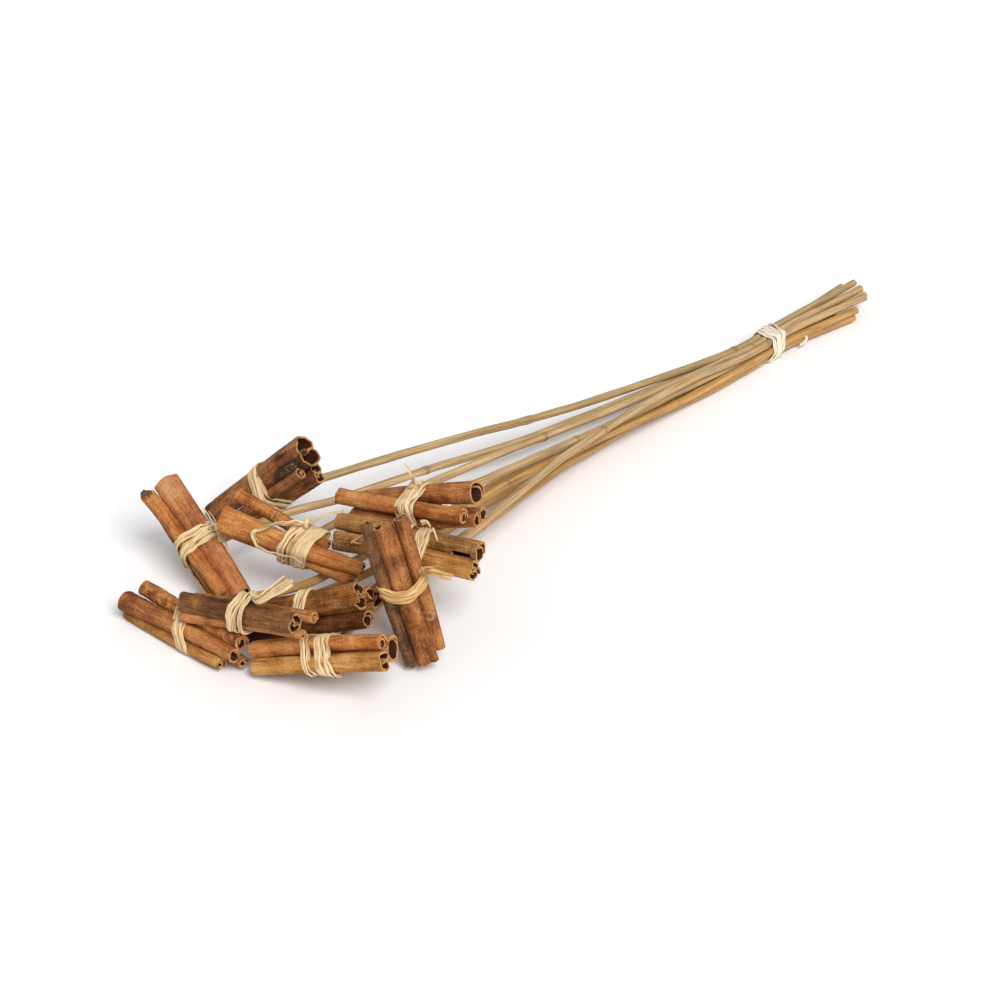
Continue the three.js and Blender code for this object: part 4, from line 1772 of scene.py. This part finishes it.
    Pick(
        "G", (-214, 10, 9.8), -89, 1.5,
        quills=(
            BarkQuill(
                Form.SINGLE, 10.2, 78, (0.8, 0.9, 0.5), Bark.RUSSET, yaw=2.9, tilt=-0.6, taper=-0.2,
                face=322, turns=1.3,
            ),
            BarkQuill(
                Form.SINGLE, 9.6, 74, (2.5, 8.2, 5.6), Bark.RUSSET, yaw=-0.4, tilt=-0.5, face=322,
                flakes=0.3, waves=0.4,
            ),
            BarkQuill(Form.SINGLE, 7.8, 71, (-2.4, -0.6, -5.7), Bark.HONEY, face=322, turns=1.4),
            BarkQuill(Form.SINGLE, 7.2, 76, (3, 8.3, -5.1), Bark.UMBER, yaw=-1.7, face=322, turns=1.3),
        ),
        tie=RaffiaTie(
            (
                Wrap(5.8, -6.4, 2.0), Wrap(7.2, -4.4, 1.8, 1), Wrap(8.6, -2.2, 2.0),
                Wrap(10.0, 0.2, 1.8, 1), Wrap(11.2, 2.2, 1.6),
            ),
        ),
        stem=ReedStem(
            (0, 8.8, 0.8),
            (
                (-180, 5, 7.5), (-150, -9, 7.5), (-96, -14, 7.5), (-46, -6, 7.5), (0, 1, 7), (46, 5, 6.5),
                (110, 9, 5.5),
            ),
            (0, 0), (300, 13.5, 3), Reed.GOLD, (0.25, 0.64),
        ),
    ),
    Pick(
        "H", (-206.5, -29.5, 33.5), -82, 10,
        quills=(
            BarkQuill(
                Form.DOUBLE, 9.6, 74, (-0.2, 0.3, 0.6), Bark.HAZEL, height=8.2, yaw=0.8, tilt=1.4, face=240,
                marks=(Mark(Paint.STAIN_AND_SHADE, 23.6, 0.7, 5, 1.2, 0.6),), ragged=(0.7, 1.4), turns=2.0,
            ),
            BarkQuill(
                Form.SINGLE, 6.8, 76, (0.6, 0.1, -6.6), Bark.RUSSET, yaw=3.8, tilt=2.4, taper=-0.15,
                face=330,
            ),
            BarkQuill(
                Form.SINGLE, 7.3, 78, (2.5, 8, -0.6), Bark.COPPER, yaw=1.4, tilt=2.4, face=330, turns=2.0,
            ),
        ),
        tie=RaffiaTie(
            (
                Wrap(-6.0, -1.6, 2.2, sag=1.6), Wrap(-4.4, 0.0, 2.0, 1, 1.6), Wrap(-2.6, 1.8, 2.0, sag=1.8),
                Wrap(-0.8, 3.2, 1.4, 1, 1.6), Wrap(2.0, 5.0, 1.8, sag=1.4), Wrap(3.6, 6.2, 1.8, 1, 1.2),
            ),
            knot=(6, 6.5, 7.5),
            tails=(
                Tail(((6, 5, 8), (17, -2, 12.5), (24, 0.5, 18), (31.5, 4.5, 23.8)), 1.2, 15, 1.2, 0.3),
                Tail(((6, 5, 8), (17.5, -2.5, 12), (26, 0.5, 17.3), (34, 4, 23)), 1.2, 15, 1.2, 0.3),
                Tail(((6, 5, 8), (18, -3, 11.5), (28, 0, 16.8), (36.6, 4, 22.8)), 1.2, 15, 1.2, 0.3),
                Tail(((6, 5, 8), (19, -3, 11), (28.5, -1, 16), (37.3, 3, 21)), 1.2, 15, 1.2, 0.3),
            ),
        ),
        stem=ReedStem(
            (0, 5.4, 5.8),
            (
                (-175, -27, 31.6), (-150, -19.6, 22.8), (-130, -16.2, 19.8), (-106, -13, 18),
                (-47, -10, 16.5), (-8, -6, 16), (38, -5, 14.5), (110, 0, 11.5),
            ),
            (1, 2), (322, 14.5, 8), Reed.GOLD, (0.31, 0.68),
        ),
    ),
    Pick(
        "I", (-172, -35, 25), -68, 20,
        quills=(
            BarkQuill(
                Form.DOUBLE, 12.6, 70, (0.3, 0, 0.2), Bark.UMBER, height=8.6, yaw=0.9, tilt=2.1, taper=0.08,
                face=246, waves=0.45, ragged=(0.8, 2.6), marks=(Mark(Paint.BLOOM, 24, -0.5, 5, 2.5, 0.6),),
            ),
            BarkQuill(
                Form.DOUBLE, 13.4, 70, (1.7, 8.6, -5.6), Bark.RUSSET, height=6.8, yaw=1.1, tilt=2.5,
                face=117, ragged=(0.8, 1.8),
            ),
            BarkQuill(
                Form.SINGLE, 10.2, 70, (2.9, -4.6, -9.8), Bark.CHESTNUT, yaw=0.3, tilt=0.6, face=336,
                turns=1.15,
            ),
            BarkQuill(Form.SINGLE, 7.2, 50, (7, 1.8, -14.4), Bark.CHESTNUT, face=336),
        ),
        tie=RaffiaTie(
            (Wrap(-6.0, 1.6, 2.0), Wrap(-4.2, 3.4, 1.8, 1), Wrap(-2.4, 5.2, 2.0), Wrap(-0.8, 7.0, 1.8, 1)),
        ),
        stem=ReedStem(
            (-3, 8.2, -15.8),
            (
                (-150, -34.5, 10.5), (-110, -31.5, 12), (-55, -18.5, 13), (-15, -12.5, 12), (20, -6, 9.5),
                (56, 0, 7), (110, 3.7, 5),
            ),
            (0, 1), (308, 6.5, 2.6), Reed.GOLD, (0.26, 0.66),
        ),
    ),
    Pick(
        "J", (-190.5, -68.5, 22.4), -73, 17,
        quills=(
            BarkQuill(
                Form.SINGLE, 9.4, 76, (-0.4, 0.8, 2.4), Bark.AMBER, yaw=1.3, tilt=2.7, taper=-0.1, face=335,
                waves=0.2,
            ),
            BarkQuill(
                Form.DOUBLE, 8.6, 77, (1.5, -4.4, -4.2), Bark.HONEY, height=7, yaw=1, tilt=2.1, taper=0.08,
                face=245, waves=0.2, ragged=(0.6, 1.2),
            ),
            BarkQuill(
                Form.SINGLE, 14, 79, (-2, 7.4, -4.1), Bark.COPPER, height=8.8, yaw=0.8, tilt=1.7, face=270,
                lean=65, turns=1.25,
            ),
        ),
        tie=RaffiaTie(
            (
                Wrap(-3.6, -7.6, 1.5), Wrap(-2.0, -6.0, 1.2, 1), Wrap(0.4, -4.6, 1.6), Wrap(3.9, 0.9, 1.9),
                Wrap(5.9, 2.5, 1.9, 1), Wrap(7.9, 4.1, 1.9), Wrap(9.9, 5.7, 1.9, 1), Wrap(12.2, 7.3, 1.9),
                Wrap(13.2, 5.0, 1.3, 2),
            ),
        ),
        stem=ReedStem(
            (0, 12.5, -7.5),
            (
                (-158, -53, 12), (-123, -42, 11), (-83, -34, 10), (-21.5, -21.5, 10), (39.5, -9, 8.5),
                (74, -5, 7.5), (110, -1.5, 6.5), (158, -2, 4.8),
            ),
            (0, 2), (304, 0.5, 3.4), Reed.GOLD, (0.3, 0.62),
        ),
    ),
)


# ---- studio ----


@dataclass(frozen=True)
class Studio:
    """A white table, a soft light from the front and even light from all round."""

    floor_size: float = 14.0
    key_strength: float = 2.9
    key_spread: float = 30.0
    key_direction: Point = (0.38, 0.92, -1.0)
    fill: float = 0.46

    def build(self) -> None:
        """Sets up the floor, the lights and the camera."""
        self.lay_floor()
        self.set_lights()
        self.set_camera()

    def lay_floor(self) -> None:
        """Lays a plain pale floor."""

        def paint(tree: Tree) -> Any:
            """Returns the socket of a matt white paint."""
            return add_node(tree, "ShaderNodeBsdfDiffuse", {"Color": colour("f8f7f7")}).outputs[0]

        make_active()
        bpy.ops.mesh.primitive_plane_add(size=self.floor_size, location=(0, 0, 0))
        floor = bpy.context.object
        floor.name = "floor"
        floor.data.materials.append(new_material("white_table_paint", paint))

    def set_lights(self) -> None:
        """Adds the key light and the even light of a white room."""
        bpy.ops.object.light_add(type="SUN", location=(-1, 0, 2))
        key = bpy.context.object
        key.name = "key_light"
        key.data.energy = self.key_strength
        key.data.angle = math.radians(self.key_spread)
        key.rotation_mode = "QUATERNION"
        key.rotation_quaternion = Vector(self.key_direction).to_track_quat("-Z", "Y")
        world = bpy.data.worlds.new("white_room")
        bpy.context.scene.world = world
        world.use_nodes = True
        background = world.node_tree.nodes["Background"]
        background.inputs["Color"].default_value = (1, 1, 1, 1)
        background.inputs["Strength"].default_value = self.fill
        bpy.context.scene.view_settings.view_transform = "Standard"

    def set_camera(self) -> None:
        """Adds the camera at the usual view."""
        data = bpy.data.cameras.new("camera")
        data.lens = VIEW_LENS
        data.sensor_width = SENSOR_WIDTH
        data.clip_end = CLIP_END
        camera = bpy.data.objects.new("camera", data)
        bpy.context.scene.collection.objects.link(camera)
        forward = view_direction()
        camera.location = (-ORIGIN - forward * VIEW_DISTANCE) * MM
        camera.rotation_mode = "QUATERNION"
        camera.rotation_quaternion = forward.to_track_quat("-Z", "Y")
        bpy.context.scene.camera = camera


def main() -> None:
    """Builds the studio and every piece."""
    logging.basicConfig(level=logging.INFO, format="%(message)s")
    Studio().build()
    stem_tie = StemTie()
    for pick in PICKS:
        pick.build(stem_tie)
    band = stem_tie.build("raffia_binding_stems", BAND_SEED)
    hand_over(band, stem_tie.frame(), "raffia_tie_stems")
    LOG.info("stem tie")


if __name__ == "__main__":
    main()
